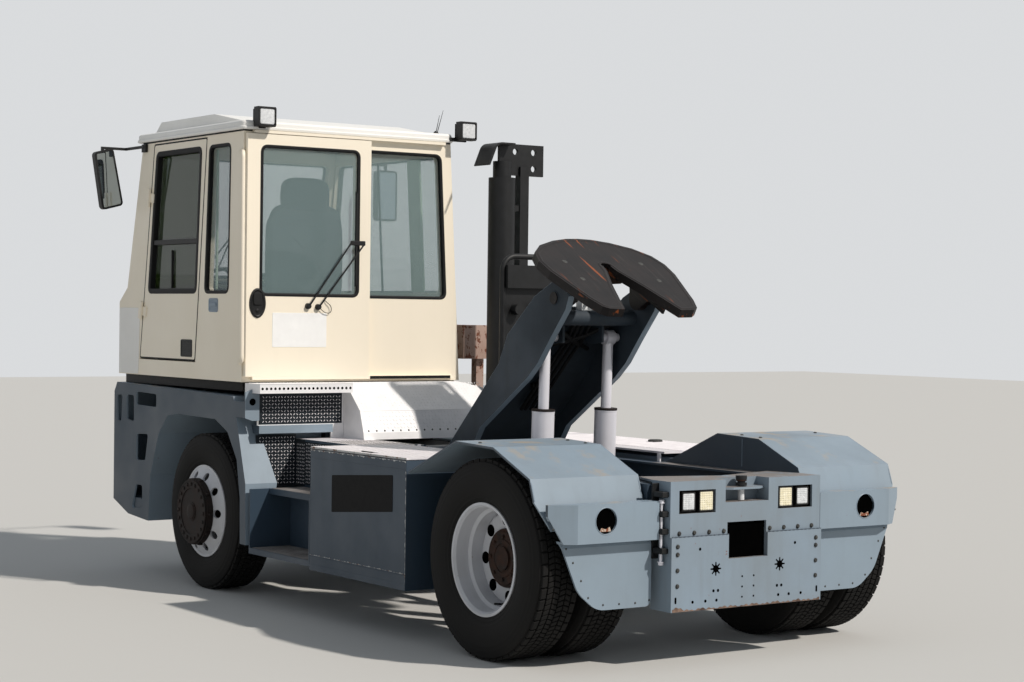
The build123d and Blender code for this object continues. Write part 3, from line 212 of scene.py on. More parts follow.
# Black chassis paint and plain plates: flat black, flat white, and a hole's unlit bottom
black_paint = metal("black_chassis_paint", "#0A0B0C", "#161719", 0.5, 0.0, 50.0, 0.2, 0.35)
hole_black = metal("unlit_cavity_black", "#030303", "#050505", 0.9, 0.0, 25.0, 0.1, 0.0)
plate_black = metal("blank_black_plate", "#050506", "#0B0B0D", 0.6, 0.0, 33.33, 0.1, 0.12)
plate_white = metal("blank_white_plate", "#F1F1EF", "#F8F8F6", 0.45, 0.0, 83.33, 0.03)
mint_trim = metal("pale_green_trim", "#B4CBB4", "#C0D4BF", 0.5, 0.0, 50.0, 0.1)
# Hard chrome and rolled aluminium: so bright that they look nearly white by day; trodden, they turn grey
bright_steel = metal("hard_chromed_rod", "#DEDDE4", "#E9E8EE", 0.36, 0.2, 333.3, 0.01)
bright_plate = metal("bright_aluminium_plate", "#EDECEC", "#F6F5F5", 0.42, 0.05, 71.43, 0.1)
plate_aluminium = metal("rolled_aluminium_plate", "#DDD8DA", "#EFEBED", 0.45, 0.1, 71.43, 0.12)
dirty_plate = metal("trodden_aluminium_plate", "#5F5B59", "#918D8A", 0.6, 0.2, 142.9, 0.2)
dark_tread = metal("dark_tread_plate", "#161C21", "#242C32", 0.5, 0.1, 33.33, 0.2, 0.3)
# Woven cloth: no gloss, threads 4 mm apart, which is coarser than real so that they show
seat_cloth = metal("woven_seat_cloth", "#26282D", "#3A3D43", 0.9, 0.0, 4.167, 0.5, 0.2)
# Moulded polycarbonate lenses: smooth and glossy, yellowed in the work lamps, clear elsewhere
lamp_lens = metal("moulded_lamp_lens", "#E4DCBC", "#F6F0DA", 0.2, 0.0, 25.0, 0.1)
clear_lens = metal("clear_lamp_lens", "#C9CCCE", "#E9EBEC", 0.15, 0.0, 16.67, 0.1)

# Steel wear plate under grease: near black, with long pale and orange scratches that run along its length
PLATE_TILT = radians(29.8)
greasy_steel, wear = new_tree("greased_wear_plate")
film = add(wear, RAMP, {0: grain(wear, 166.7, 6)}, stops=((0.3, "#0A0809"), (0.7, "#1D1716")))
long_rust = grain(wear, 45.45, 3, (0.10, 1, 1), 0.5, PLATE_TILT)
fine_runs = grain(wear, 16.67, 2, (0.06, 1, 1), 0.5, PLATE_TILT)
for runs, stops, colour in (
    (long_rust, ((0.625, BLACK), (0.68, WHITE)), "#854520"),
    (fine_runs, ((0.60, BLACK), (0.70, "#4A4A4A")), "#77706C"),
):
    film = add(wear, MIX, {0: add(wear, RAMP, {0: runs}, stops=stops), 6: film, 7: colour}, **COLOUR)
wear_grain = add(wear, BUMP, {"Height": long_rust, "Strength": 0.4, "Distance": 0.002})
finish_with(wear, {"Base Color": film, "Roughness": 0.5, "Specular IOR Level": 0.25, "Normal": wear_grain})


def smooth(name, colour, roughness, **inputs):
    """A smooth even surface of one colour: float glass, a silvered mirror or plain matt paint."""
    material, tree = new_tree(name)
    finish_with(tree, {"Base Color": colour, "Roughness": roughness, **inputs})
    return material


# Safety glass, tinted in the melt: pale blue-green behind; the side door's nearly opaque deep green is the
# dark cab inside with a painted reflection of green surroundings
window_glass = smooth("tinted_safety_glass", "#93AAAB", 0.02, IOR=1.5, Alpha=0.30)
side_glass = smooth("side_glass_with_painted_reflection", "#22330C", 0.02, IOR=1.5, Alpha=0.80)
mirror_glass = smooth("silvered_mirror_glass", "#B9C4CC", 0.03, Metallic=1.0)

# Finish of each imported node: by its slot, or its own where the same paint has aged another way or holds
# painted shade
finishes = {
    "slate_paint": slate_paint, "cream_paint": cream_paint, "white_paint": white_paint,
    "rusted_primer": primer, "window_glass": window_glass, "dark_steel": rusty_iron,
    "bright_rod": bright_steel, "silver_paint": silver_paint, "tyre_rubber": tyre_rubber,
    "tread_plate": plate_aluminium, "black_plastic": black_plastic, "seat_fabric": seat_cloth,
}
aged_or_shaded_finishes = {
    black_paint: "exhaust_stack engine_block propshafts service_stand rear_axle front_axle rear_towing_pin "
                 "lift_barrel_left lift_barrel_right",
    box_paint: "battery_box entry_steps chassis_frame",
    fender_paint: "front_fender_left front_fender_right rear_fender_left rear_fender_right",
    bright_plate: "engine_cover cab_step", sooty_iron: "hub_front_left hub_front_right",
    greasy_steel: "fifth_wheel", boom_paint: "boom", beam_paint: "rear_bulkhead",
    side_glass: "side_door_glass",
}
finish_of = {part["node"]: finishes[part["material_slot"]] for part in frame["record"]["subparts"]}
finish_of.update((name, finish) for finish, names in aged_or_shaded_finishes.items() for name in names.split())
for node_name, node in nodes.items():
    for place in node.material_slots:
        place.material = finish_of[node_name]

# Floor: a matt pale quad 80 m across that is not part of the object
floor_mesh = bpy.data.meshes.new("floor")
floor_mesh.from_pydata([(-40, -40, 0), (40, -40, 0), (40, 40, 0), (-40, 40, 0)], [], [(0, 1, 2, 3)])
floor_mesh.materials.append(smooth("floor_surface", "#C9C8C4", 0.9))
floor = bpy.data.objects.new("floor", floor_mesh)
bpy.context.collection.objects.link(floor)


# Shapes: a surface is its points and a list of face arrays, in metres from the rear axle and centreline.
# A side to work on is its origin, two directions along it, and the direction square to it.
def upward(z):
    """A side that looks up."""
    return ((0, 0, z), (1, 0, 0), (0, 1, 0), (0, 0, 1))


def rearward(x):
    """A side that looks back."""
    return ((x, 0, 0), (0, 1, 0), (0, 0, 1), (-1, 0, 0))


def leftward(y):
    """A side that looks left."""
    return ((0, y, 0), (1, 0, 0), (0, 0, 1), (0, 1, 0))


WALL_LEAN, SCREEN_LEAN = 0.0566, radians(13.6)
LEFT_FACE, REAR_FACE, DOOR_REAR_FACE = leftward(1.22), rearward(2.715), rearward(2.679)
RIGHT_FACE = ((0, -0.415 - WALL_LEAN * 1.36, 0), (1, 0, 0), (0, WALL_LEAN, 1), (0, -1, WALL_LEAN))
SCREEN_FACE = (
    (4.32, 0.437, 2.455), (0, 1, 0),
    (-sin(SCREEN_LEAN), 0, cos(SCREEN_LEAN)), (cos(SCREEN_LEAN), 0, sin(SCREEN_LEAN)),
)
ORIGIN, LEVEL = (0, 0, 0), upward(0)
AHEAD, BACK, LEFT, RIGHT, UP, DOWN = (1, 0, 0), (-1, 0, 0), (0, 1, 0), (0, -1, 0), (0, 0, 1), (0, 0, -1)
SIDES = (1, -1)
SIDE_NAMES = {1: "left", -1: "right"}


def unit(vectors):
    """Vectors divided by their lengths."""
    vectors = np.asarray(vectors, float)
    return vectors / np.linalg.norm(vectors, axis=-1, keepdims=True)


def points_at(*coordinates):
    """Points from their coordinates, each an array or one number for them all."""
    return np.stack(np.broadcast_arrays(*coordinates), -1)


def joined(*surfaces):
    """Several surfaces as one: points end to end, each one's faces counted on from its first point."""
    starts = np.cumsum([0] + [len(points) for points, faces in surfaces])
    faces = [rows + start for (points, own), start in zip(surfaces, starts) for rows in own]
    return np.concatenate([points for points, own in surfaces]), faces


def outward(surface):
    """Turns the faces over where the closed surface's volume, summed over its triangles, is below zero."""
    points, faces = surface
    volume = 0.0
    for rows in faces:
        for i in range(1, rows.shape[1] - 1):
            a, b, c = points[rows[:, 0]], points[rows[:, i]], points[rows[:, i + 1]]
            volume += np.einsum("ij,ij->", a, np.cross(b, c))
    return surface if volume > 0 else (points, [rows[:, ::-1] for rows in faces])


def grid(points, wrap_rows=False, capped=False):
    """Quads over rows of points whose rows close on themselves; the first and last row join if wrapped,
    and become two flat faces if capped."""
    rows, columns = points.shape[:2]
    index = np.arange(rows * columns).reshape(rows, columns)
    ends = [index[:1], index[-1:, ::-1]] if capped else []
    if wrap_rows:
        index = np.vstack([index, index[:1]])
    index = np.hstack([index, index[:, :1]])
    quads = np.stack([index[:-1, :-1], index[1:, :-1], index[1:, 1:], index[:-1, 1:]], -1).reshape(-1, 4)
    return outward((points.reshape(-1, 3), [quads] + ends))


def rounded(points, radius, steps=5, closed=True):
    """A line of points whose corners are quadratic curves that start and end a radius from each corner."""
    points = np.asarray(points, float)
    back, on = np.roll(points, 1, 0) - points, np.roll(points, -1, 0) - points
    nearest = np.minimum(np.linalg.norm(back, axis=1), np.linalg.norm(on, axis=1))
    reach = np.minimum(radius, 0.49 * nearest)[:, None]
    start, end = (points + reach * unit(back))[:, None], (points + reach * unit(on))[:, None]
    t = np.linspace(0, 1, steps)[None, :, None]
    curves = (1 - t) ** 2 * start + 2 * t * (1 - t) * points[:, None] + t ** 2 * end
    if closed:
        return curves.reshape(-1, points.shape[1])
    return np.vstack([points[:1], curves[1:-1].reshape(-1, points.shape[1]), points[-1:]])


def inset_lines(outline, insets):
    """A closed outline moved inwards along its mitres, once for each inset."""
    outline = np.asarray(outline, float)
    x, z = outline.T
    if np.sum(x * np.roll(z, -1) - z * np.roll(x, -1)) < 0:
        outline = outline[::-1]
    on = unit(np.roll(outline, -1, 0) - outline)
    side = points_at(-on[:, 1], on[:, 0])
    mitre = side + np.roll(side, 1, 0)
    mitre = mitre / np.maximum(0.3, 1 + np.einsum("ij,ij->i", side, np.roll(side, 1, 0)))[:, None]
    return outline[None] + np.asarray(insets, float)[:, None, None] * mitre[None]


def on_face(face, flat, heights):
    """Flat points and heights as places: origin plus each number times its direction."""
    origin, across, rise, square = (np.asarray(v, float) for v in face)
    return origin + flat[..., :1] * across + flat[..., 1:] * rise + np.asarray(heights)[..., None] * square


def plate(outline, low, high, face, edge=0.0015):
    """A flat plate on a face between two heights: four rings of its outline, the two at its faces drawn
    in by the edge width, and a flat face at each end."""
    lines = inset_lines(outline, (edge, 0, 0, edge))
    heights = np.array([low, low + edge, high - edge, high])[:, None] + np.zeros(lines.shape[1])
    return grid(on_face(face, lines, heights), capped=True)


def band(outline, section, face):
    """A closed section carried round a closed outline: each section point is an inset and a height."""
    section = np.asarray(section, float)
    lines = inset_lines(outline, section[:, 0])
    heights = section[:, 1:] + np.zeros(lines.shape[1])
    return grid(on_face(face, lines, heights), wrap_rows=True)


def rectangle(low_u, high_u, low_v, high_v, corner=0.0, steps=3):
    """A rectangle's outline: its four corners, each rounded if a corner's reach is given."""
    corners = [(low_u, low_v), (high_u, low_v), (high_u, high_v), (low_u, high_v)]
    return rounded(corners, corner, steps) if corner else corners


def slab(low, high, edge=0.002):
    """A box with softened edges: a rounded rectangle raised from its lowest to its highest level."""
    return plate(rectangle(low[0], high[0], low[1], high[1], edge), low[2], high[2], LEVEL, edge)


def revolved(profile, centre, axis, sides=32, closed=False):
    """A profile turned about an axis: each pair is a distance along the axis and a radius. An open
    profile ends in flat faces, a closed one in itself."""
    axis = unit(axis)
    first = unit(np.cross(axis, (0.31, 0.17, 0.93) if abs(axis[2]) < 0.9 else AHEAD))
    second = np.cross(axis, first)
    profile = np.asarray(profile, float)
    turn = np.arange(sides) / sides * 2 * pi
    spoke = np.cos(turn)[:, None] * first + np.sin(turn)[:, None] * second
    points = np.asarray(centre) + profile[:, :1, None] * axis + profile[:, 1:, None] * spoke
    return grid(points, wrap_rows=closed, capped=not closed)


def hoop(profile, centre, axis, sides):
    """A closed profile turned about an axis."""
    return revolved(profile, centre, axis, sides, closed=True)


def tube(path, radius, sides):
    """A circle carried along a path: its point plus the radius times cosine and sine along two directions
    square to it, the first of them as near as can be to the direction that the path never takes."""
    path = np.asarray(path, float)
    along = np.roll(path, -1, 0) - np.roll(path, 1, 0)
    along[0], along[-1] = path[1] - path[0], path[-1] - path[-2]
    along = unit(along)
    lean = np.linalg.svd(along)[2][2]
    first = unit(lean - np.einsum("ij,j->i", along, lean)[:, None] * along)
    second = np.cross(along, first)
    turn = np.arange(sides) / sides * 2 * pi
    reach = np.broadcast_to(np.asarray(radius, float), (len(path),))[:, None, None]
    ring = np.cos(turn)[:, None] * first[:, None] + np.sin(turn)[:, None] * second[:, None]
    return grid(path[:, None] + reach * ring, capped=True)


def bent(points, corner, steps, radius, sides):
    """A tube along a line whose corners are rounded."""
    return tube(rounded(points, corner, steps, closed=False), radius, sides)


def repeated(surface, places, turns=None):
    """Copies of a surface at many places, each first turned by its own matrix."""
    points, faces = surface
    places = np.asarray(places, float).reshape(-1, 3)
    if turns is None:
        copies = np.broadcast_to(points, (len(places),) + points.shape)
    else:
        copies = np.einsum("nij,pj->npi", turns, points)
    steps = (np.arange(len(places)) * len(points))[:, None, None]
    faces = [(rows[None] + steps).reshape(-1, rows.shape[1]) for rows in faces]
    return (copies + places[:, None]).reshape(-1, 3), faces


def mirrored(surface):
    """The same surface on the other side of the centreline, with its faces turned to match."""
    points, faces = surface
    return points * (1, -1, 1), [rows[:, ::-1] for rows in faces]


def both(surface):
    """A surface and its mirror image."""
    return joined(surface, mirrored(surface))


def hex_head(direction, across, high, centre=ORIGIN):
    """A bolt head on its washer: a round disc, then a six-sided prism with its top edge drawn in."""
    washer = revolved([(0, across * 0.72), (0.003, across * 0.7)], centre, direction, 14)
    head = [(0.003, across * 0.577), (high * 0.8, across * 0.577), (high, across * 0.47)]
    return joined(washer, revolved(head, centre, direction, 6))


def round_head(direction, radius, high):
    """A rivet or button head: rings that draw in as they rise."""
    return revolved([(0, radius), (high * 0.6, radius * 0.85), (high, radius * 0.45)], ORIGIN, direction, 10)


def lugs(face, low, high, pitch=0.026, size=(0.011, 0.0035, 0.0016)):
    """Raised lens-shaped lugs in rows over a rectangle of a face, turned one way and the other in turn."""
    turn = np.arange(8) / 8 * 2 * pi
    ring = points_at(np.cos(turn) * size[0], np.sin(turn) * size[1], 0.0)
    lens = outward((np.vstack([ring, ring * 0.6 + (0, 0, size[2])]), [
        np.stack([np.arange(8), (np.arange(8) + 1) % 8, (np.arange(8) + 1) % 8 + 8, np.arange(8) + 8], -1),
        np.arange(8, 16)[None], np.arange(8)[None, ::-1],
    ]))
    u, v = np.arange(low[0], high[0], pitch) + pitch / 2, np.arange(low[1], high[1], pitch) + pitch / 2
    u, v = (a.ravel() for a in np.meshgrid(u, v, indexing="ij"))
    inside = (u < high[0] - 0.008) & (v < high[1] - 0.008)
    odd = (np.round(u / pitch) + np.round(v / pitch)) % 2
    u, v, odd = u[inside], v[inside], odd[inside]
    lean = np.where(odd == 1, pi / 4, -pi / 4)
    across, rise, square = unit(face[1]), unit(face[2]), unit(face[3])
    first = np.cos(lean)[:, None] * across + np.sin(lean)[:, None] * rise
    turns = np.stack([first, np.cross(square, first), np.broadcast_to(square, first.shape)], -1)
    return repeated(lens, on_face(face, points_at(u, v), 0.0), turns)


def put(name, surface, finish, body="chassis", replaces=(), crease=32):
    """Puts a surface into a mesh at its place, with its finish, slot and body."""
    points, faces = surface
    mesh = bpy.data.meshes.new(name)
    mesh.from_pydata((points + SHIFT).tolist(), [], [row for rows in faces for row in rows.tolist()])
    mesh.shade_smooth()
    mesh.set_sharp_from_angle(angle=radians(crease))
    mesh.materials.append(finish)
    piece = bpy.data.objects.new(name, mesh)
    bpy.context.collection.objects.link(piece)
    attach(piece, body)
    if replaces:
        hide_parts(*replaces)
    return piece


def arc_through(first, middle, last, steps):
    """Points on the circle through three points: its centre solves two lines of equal distance."""
    first, middle, last = (np.asarray(p, float) for p in (first, middle, last))
    rows = np.array([middle - first, last - first])
    centre = np.linalg.solve(
        2 * rows, np.array([middle @ middle - first @ first, last @ last - first @ first]),
    )
    angles = np.unwrap([np.arctan2(*(p - centre)[::-1]) for p in (first, middle, last)])
    turn = np.linspace(angles[0], angles[2], steps)
    return centre + np.linalg.norm(first - centre) * points_at(np.cos(turn), np.sin(turn))


# A road tyre in metres: bead, half of its greatest width, and depth of the grooves between tread blocks
BEAD_RADIUS, WIDEST, GROOVE = 0.2985, 0.1428, 0.016


def tyre_surface(centre, radius):
    """One road tyre. Carcass: half the section is an arc from bead to shoulder with raised rings, and the
    tread's base runs straight across. Tread: blocks laid out flat, length along the tread and width
    across it, then wrapped: angle is length over radius."""
    wall = arc_through((0.118, BEAD_RADIUS), (0.1425, 0.4), (0.1285, radius - 0.028), 34)
    rise = wall[:, 1]
    for ring, height in (
        (0.322, 0.0025), (0.345, 0.0012), (radius - 0.075, 0.0016), (radius - 0.052, 0.0016),
    ):
        wall[:, 0] += height * np.exp(-((rise - ring) / 0.004) ** 2)
    wall[:, 0] = np.minimum(wall[:, 0], WIDEST)
    shoulder = np.array([(0.1235, radius - 0.018), (0.1165, radius - 0.0155)])
    half = np.vstack([wall, shoulder])
    profile = np.vstack([half, half[::-1] * (-1, 1)])
    carcass = hoop(profile, centre, LEFT, 96)

    around = 2 * pi * radius
    blocks = []
    for row, half_wide, count, fill, skew in (
        (-0.0975, 0.0155, 54, 0.84, 0.1), (0.0975, 0.0155, 54, 0.84, -0.1),
        (-0.0585, 0.0165, 108, 0.8, 0.35), (0.0585, 0.0165, 108, 0.8, -0.35),
        (-0.0195, 0.0165, 108, 0.78, -0.3), (0.0195, 0.0165, 108, 0.78, 0.3),
    ):
        half_long = around / count * fill / 2
        corners = np.array(rectangle(-half_long, half_long, -half_wide, half_wide))
        corners[:, 0] += skew * corners[:, 1]
        block = plate(corners, -0.003, GROOVE, LEVEL, 0.0018)
        steps = (np.arange(count) + (0.5 if row > 0 else 0.0)) / count * around
        blocks.append(repeated(block, points_at(steps, row, 0.0)))
    points, faces = joined(*blocks)
    angle, reach = points[:, 0] / radius, radius - GROOVE + points[:, 2]
    wrapped = points_at(reach * np.sin(angle), points[:, 1], reach * np.cos(angle)) + np.asarray(centre)
    return joined(carcass, (wrapped, faces))


def spaced_round(centre, radius, count, start=0.0):
    """Places on a circle that faces along y."""
    turn = start + np.arange(count) / count * 2 * pi
    return points_at(radius * np.cos(turn), 0.0, radius * np.sin(turn)) + np.asarray(centre)


# Wheels: tyres with their treads, the rear discs' rings and hand holes, hub bolts and caps, and valves
REAR, FRONT_WHEEL, TRACK = np.array([0.0, 0, 0.528]), np.array([3.243, 0, 0.505]), 1.08
for sign, side in SIDE_NAMES.items():
    out = np.array([0, sign, 0])
    rear_wheels, front_wheel = "wheels_rear_" + side, "wheel_front_" + side
    for twin, y_tyre, stands_for in (("outer", TRACK, ("tyres_rear_" + side,)), ("inner", 0.745, ())):
        surface = tyre_surface(REAR + y_tyre * out, REAR[2])
        put(f"rear_tyre_{side}_{twin}", surface, tyre_rubber, rear_wheels, replaces=stands_for)
    surface = tyre_surface(FRONT_WHEEL + TRACK * out, FRONT_WHEEL[2])
    put("front_tyre_" + side, surface, tyre_rubber, front_wheel, replaces=("tyre_front_" + side,))

    disc_line = [
        (0.006, 0.156), (0.008, 0.16), (0.008, 0.234), (-0.004, 0.2493), (-0.01, 0.2493), (-0.001, 0.23),
        (-0.001, 0.156),
    ]
    disc_ring = hoop(disc_line, REAR + 1.04 * out, out, 64)
    put("rear_wheel_disc_" + side, disc_ring, silver_paint, rear_wheels)
    hole_rim = [(0, 0.0325), (0.0025, 0.0318), (0.0025, 0.0298), (0, 0.0292)]
    hole_floor = revolved([(0, 0.03), (0.0012, 0.029)], ORIGIN, out, 24)
    hand_hole = joined(hole_floor, hoop(hole_rim, ORIGIN, out, 24))
    hand_holes = repeated(hand_hole, spaced_round(REAR + 1.048 * out, 0.203, 8, radians(-5)))
    put("rear_hand_holes_" + side, hand_holes, hole_black, rear_wheels)
    hub_end, drum_rib = REAR + 1.075 * out, REAR + 1.056 * out
    rib_line = [(-0.004, 0.15), (-0.004, 0.1555), (0.004, 0.1555), (0.004, 0.15)]
    surface = joined(
        repeated(hex_head(out, 0.017, 0.01), spaced_round(hub_end, 0.112, 8)),
        hoop([(0, 0.1), (0.004, 0.098), (0.004, 0.078), (0, 0.076)], hub_end, out, 48),
        hoop(rib_line, drum_rib, out, 48),
    )
    put("rear_wheel_nuts_" + side, surface, rusty_iron, rear_wheels)
    hub_end = FRONT_WHEEL + 1.2995 * out
    ring_line = [(-0.001, 0.206), (0.0025, 0.204), (0.0025, 0.197), (-0.001, 0.195)]
    wheel_lug = slab((-0.016, -0.014, -0.01), (0.016, 0.014, 0.004), 0.003)
    surface = joined(
        repeated(hex_head(out, 0.019, 0.008), spaced_round(hub_end, 0.178, 20)),
        hoop(ring_line, hub_end, out, 64),
        repeated(wheel_lug, spaced_round(FRONT_WHEEL + 1.268 * out, 0.214, 10)),
        revolved([(0, 0.052), (0.006, 0.05), (0.009, 0.04), (0.01, 0.02)], hub_end, out, 32),
    )
    put("front_hub_bolts_" + side, surface, sooty_iron, front_wheel)
    stem = rounded([(0, 0, -0.235), (0, sign * 0.03, -0.242), (0, sign * 0.085, -0.236)], 0.012, closed=False)
    for body, middle in ((rear_wheels, REAR + 1.042 * out), (front_wheel, FRONT_WHEEL + 1.14 * out)):
        put("valve_" + body, tube(stem + middle, 0.0055, 8), black_rubber, body)

# Window rubbers: a closed section carried round each opening
DOOR_WINDOW = [(3.367, 1.925), (4.098, 1.925), (3.982, 2.868), (3.305, 2.868)]
QUARTER_WINDOW = [(2.909, 1.925), (3.24, 1.925), (3.186, 2.868), (2.893, 2.868)]
RIGHT_WINDOW = [(2.83, 1.95), (4.35, 1.95), (4.15, 2.86), (2.83, 2.86)]
REAR_WINDOW = [(-0.3, 1.909), (0.35, 1.909), (0.35, 2.86), (-0.248, 2.86)]
REAR_DOOR_WINDOW = rectangle(0.4, 1.11, 1.912, 2.85)
WINDSCREEN = rectangle(-0.665, 0.665, -0.43, 0.43)


def rubber(outline, face, depth, show):
    """A window rubber: it laps the panel's edge, stands a little proud with rounded lips, and reaches
    down to the glass."""
    lap, high = 0.009, 0.0028
    section = [
        (-lap, 0.0002), (-lap + 0.001, high * 0.8), (-lap + 0.004, high), (show - 0.006, high),
        (show - 0.001, high * 0.2), (show, -0.003), (show, -depth + 0.0004), (0.0003, -depth + 0.0004),
        (0.0003, 0.0002),
    ]
    return band(rounded(outline, 0.045, 9), section, face)


for name, outline, face, depth, show, body in (
    ("door_window", DOOR_WINDOW, LEFT_FACE, 0.034, 0.026, "side_door"),
    ("quarter_window", QUARTER_WINDOW, LEFT_FACE, 0.025, 0.012, "chassis"),
    ("right_window", RIGHT_WINDOW, RIGHT_FACE, 0.026, 0.012, "chassis"),
    ("rear_window", REAR_WINDOW, REAR_FACE, 0.025, 0.011, "chassis"),
    ("rear_door_window", REAR_DOOR_WINDOW, DOOR_REAR_FACE, 0.011, 0.012, "rear_door"),
):
    put(name + "_rubber", rubber(outline, face, depth, show), black_rubber, body)
screen_line = [(-0.014, 0.0003), (-0.012, 0.004), (0.016, 0.005), (0.021, 0.0003)]
screen_rubber = band(rounded(WINDSCREEN, 0.045, 9), screen_line, SCREEN_FACE)
put("windscreen_rubber", screen_rubber, black_rubber)

# Left side of the cab: the door's weather strip and edge lip, black seals that also paint the shade in its
# gap, window rail and vent, then the side grip, the nose panel, the quarter window's trim and the grab tube
# at the entry
DOOR = [(3.375, 1.48), (4.223, 1.48), (4.02, 2.925), (3.228, 2.925)]
# Black rubber seal, set deep in the door gap and widened there as painted shade
strip_line = [(-0.0055, -0.059), (-0.0055, -0.048), (0.011, -0.0475), (0.012, -0.059)]
put("door_seal_and_gap_shade", band(rounded(DOOR, 0.03, 5), strip_line, LEFT_FACE), black_rubber)
lip_line = [
    (-0.0045, -0.01), (-0.0045, 0.0006), (-0.002, 0.0016), (0.004, 0.0012), (0.005, 0.0001),
    (0.0002, 0.0001), (0.0002, -0.01),
]
put("door_edge_lip", band(rounded(DOOR, 0.02, 5), lip_line, LEFT_FACE), black_rubber, "side_door")
rail = plate(rectangle(3.345, 4.062, 2.246, 2.279, 0.004), -0.0335, -0.004, LEFT_FACE, 0.003)
latch = plate(rectangle(3.774, 3.788, 1.954, 2.209, 0.005), -0.0335, -0.018, LEFT_FACE, 0.003)
put("door_window_rail", joined(rail, latch), black_plastic, "side_door")
bezel_line = [(0, 0.0), (0.001, 0.004), (0.01, 0.004), (0.012, 0.0)]
bezel = band(rectangle(3.416, 3.583, 1.5, 1.615, 0.014, 5), bezel_line, LEFT_FACE)
back = plate(rectangle(3.42, 3.579, 1.504, 1.611, 0.012, 5), 0.0002, 0.0012, LEFT_FACE, 0.0004)
fins = [
    plate(rectangle(3.43, 3.569, level, level + 0.006), 0.001, 0.0036, LEFT_FACE, 0.001)
    for level in np.arange(1.514, 1.6, 0.0135)
]
put("door_vent", joined(bezel, back, *fins), black_plastic, "side_door")
bezel_line = [(0, 0.0), (0.002, 0.005), (0.012, 0.005), (0.016, 0.0)]
grip_bezel = band(rectangle(3.047, 3.177, 1.798, 1.888, 0.02, 6), bezel_line, LEFT_FACE)
grip_back = plate(rectangle(3.052, 3.172, 1.803, 1.883, 0.018, 6), 0.0002, 0.0014, LEFT_FACE, 0.0005)
grip_bar = plate(rectangle(3.066, 3.158, 1.835, 1.858, 0.009, 5), 0.001, 0.009, LEFT_FACE, 0.003)
put("cab_side_grip", joined(grip_bezel, grip_back, grip_bar), slate_paint)
nose = rounded([(4.245, 1.366), (4.566, 1.366), (4.566, 1.82), (4.228, 1.82)], 0.018, 5)
put("cab_nose_panel", plate(nose, 0.0002, 0.0025, LEFT_FACE, 0.001), white_paint)
put("quarter_window_trim", slab((3.158, 1.166, 1.945), (3.176, 1.178, 2.85), 0.003), mint_trim)
grab_line = [(2.738, 1.214, 2.812), (2.664, 1.25, 2.8), (2.655, 1.25, 1.496), (2.738, 1.214, 1.484)]
feet = repeated(
    revolved([(0, 0.02), (0.004, 0.019), (0.005, 0.015)], ORIGIN, (-0.6, 1, 0), 20),
    [(2.737, 1.2195, 2.811), (2.737, 1.2195, 1.485)],
)
put("entry_grab_tube", joined(bent(grab_line, 0.035, 7, 0.0135, 16), feet), cream_paint)

# Rear of the cab: oval latch, blank plate, wiper, lower rail cover, roof lamps, drip rail, seal and aerials
turn = np.arange(40) / 40 * 2 * pi
oval = points_at(1.131 + 0.058 * np.cos(turn), 1.859 + 0.094 * np.sin(turn))
oval_rim = band(oval, [(0, 0.0), (0.001, 0.006), (0.01, 0.008), (0.018, 0.003), (0.018, 0.0)], DOOR_REAR_FACE)
oval_back = plate(oval, 0.0002, 0.002, DOOR_REAR_FACE, 0.001)
paddle = plate(rectangle(1.1, 1.162, 1.845, 1.925, 0.018, 6), 0.0015, 0.011, DOOR_REAR_FACE, 0.004)
key = revolved([(0, 0.012), (0.004, 0.0115), (0.005, 0.009)], (2.677, 1.131, 1.812), BACK, 20)
put("rear_door_latch", joined(oval_rim, oval_back, paddle, key), black_plastic, "rear_door")
blank = plate(rectangle(0.632, 1.024, 1.582, 1.8, 0.006, 4), 0.0002, 0.0022, DOOR_REAR_FACE, 0.0008)
put("rear_door_blank_plate", blank, plate_white, "rear_door")
arms = []
for foot, tip in (((0.771, 1.844), (0.471, 2.261)), ((0.698, 1.839), (0.381, 2.245))):
    arm = [(2.672, *foot), (2.655, foot[0] - 0.004, foot[1] + 0.006), (2.642, *tip)]
    hub = revolved([(0, 0.02), (0.02, 0.018), (0.026, 0.012)], (2.679, *foot), BACK, 18)
    arms += [bent(arm, 0.02, 4, 0.0058, 8), hub]
link = slab((2.636, 0.372, 2.24), (2.648, 0.48, 2.27), 0.003)
blade_back = slab((2.64, 0.429, 1.985), (2.65, 0.441, 2.579), 0.002)
blade_lip = slab((2.65, 0.4335, 1.975), (2.664, 0.4365, 2.589), 0.001)
loop = [
    (2.668, 0.7, 1.842), (2.664, 0.65, 1.8), (2.664, 0.606, 1.802), (2.665, 0.604, 1.846),
    (2.668, 0.64, 1.872), (2.6785, 0.65, 1.888),
]
hose = bent(loop, 0.03, 6, 0.0024, 8)
put("rear_wiper", joined(*arms, link, blade_back, blade_lip, hose), black_plastic, "rear_door")
put("rear_rail_cover", slab((2.6755, -0.322, 1.3755), (2.6788, 0.3, 1.3945), 0.001), black_rubber)
lenses, shells = [], []
for y_lamp in (1.112, -0.402):
    face = ((2.612, y_lamp, 3.028), LEFT, UP, BACK)
    lenses.append(plate(rectangle(-0.05, 0.05, -0.048, 0.048, 0.012, 5), 0.0, 0.005, face, 0.003))
    rim_line = [(0, -0.002), (0.001, 0.009), (0.009, 0.009), (0.012, -0.002)]
    rim = band(rectangle(-0.062, 0.062, -0.06, 0.06, 0.01, 4), rim_line, face)
    fin_spots = [(2.6735 + 0.007 * i, y_lamp, 3.028) for i in range(4)]
    shells += [rim, repeated(slab((-0.001, -0.056, -0.05), (0.001, 0.056, 0.05), 0.0005), fin_spots)]
put("roof_lamp_lenses", joined(*lenses), clear_lens)
put("roof_lamp_shells", joined(*shells), black_plastic)
roof_line = rectangle(2.69, 4.27, -0.335, 1.238, 0.042, 6)
drip_line = [(-0.004, 2.952), (-0.007, 2.958), (-0.007, 2.966), (-0.003, 2.97), (0.001, 2.97), (0.001, 2.952)]
put("roof_drip_rail", band(roof_line, drip_line, LEVEL), white_paint)
roof_line = rectangle(2.7135, 4.205, -0.327, 1.2215, 0.01)
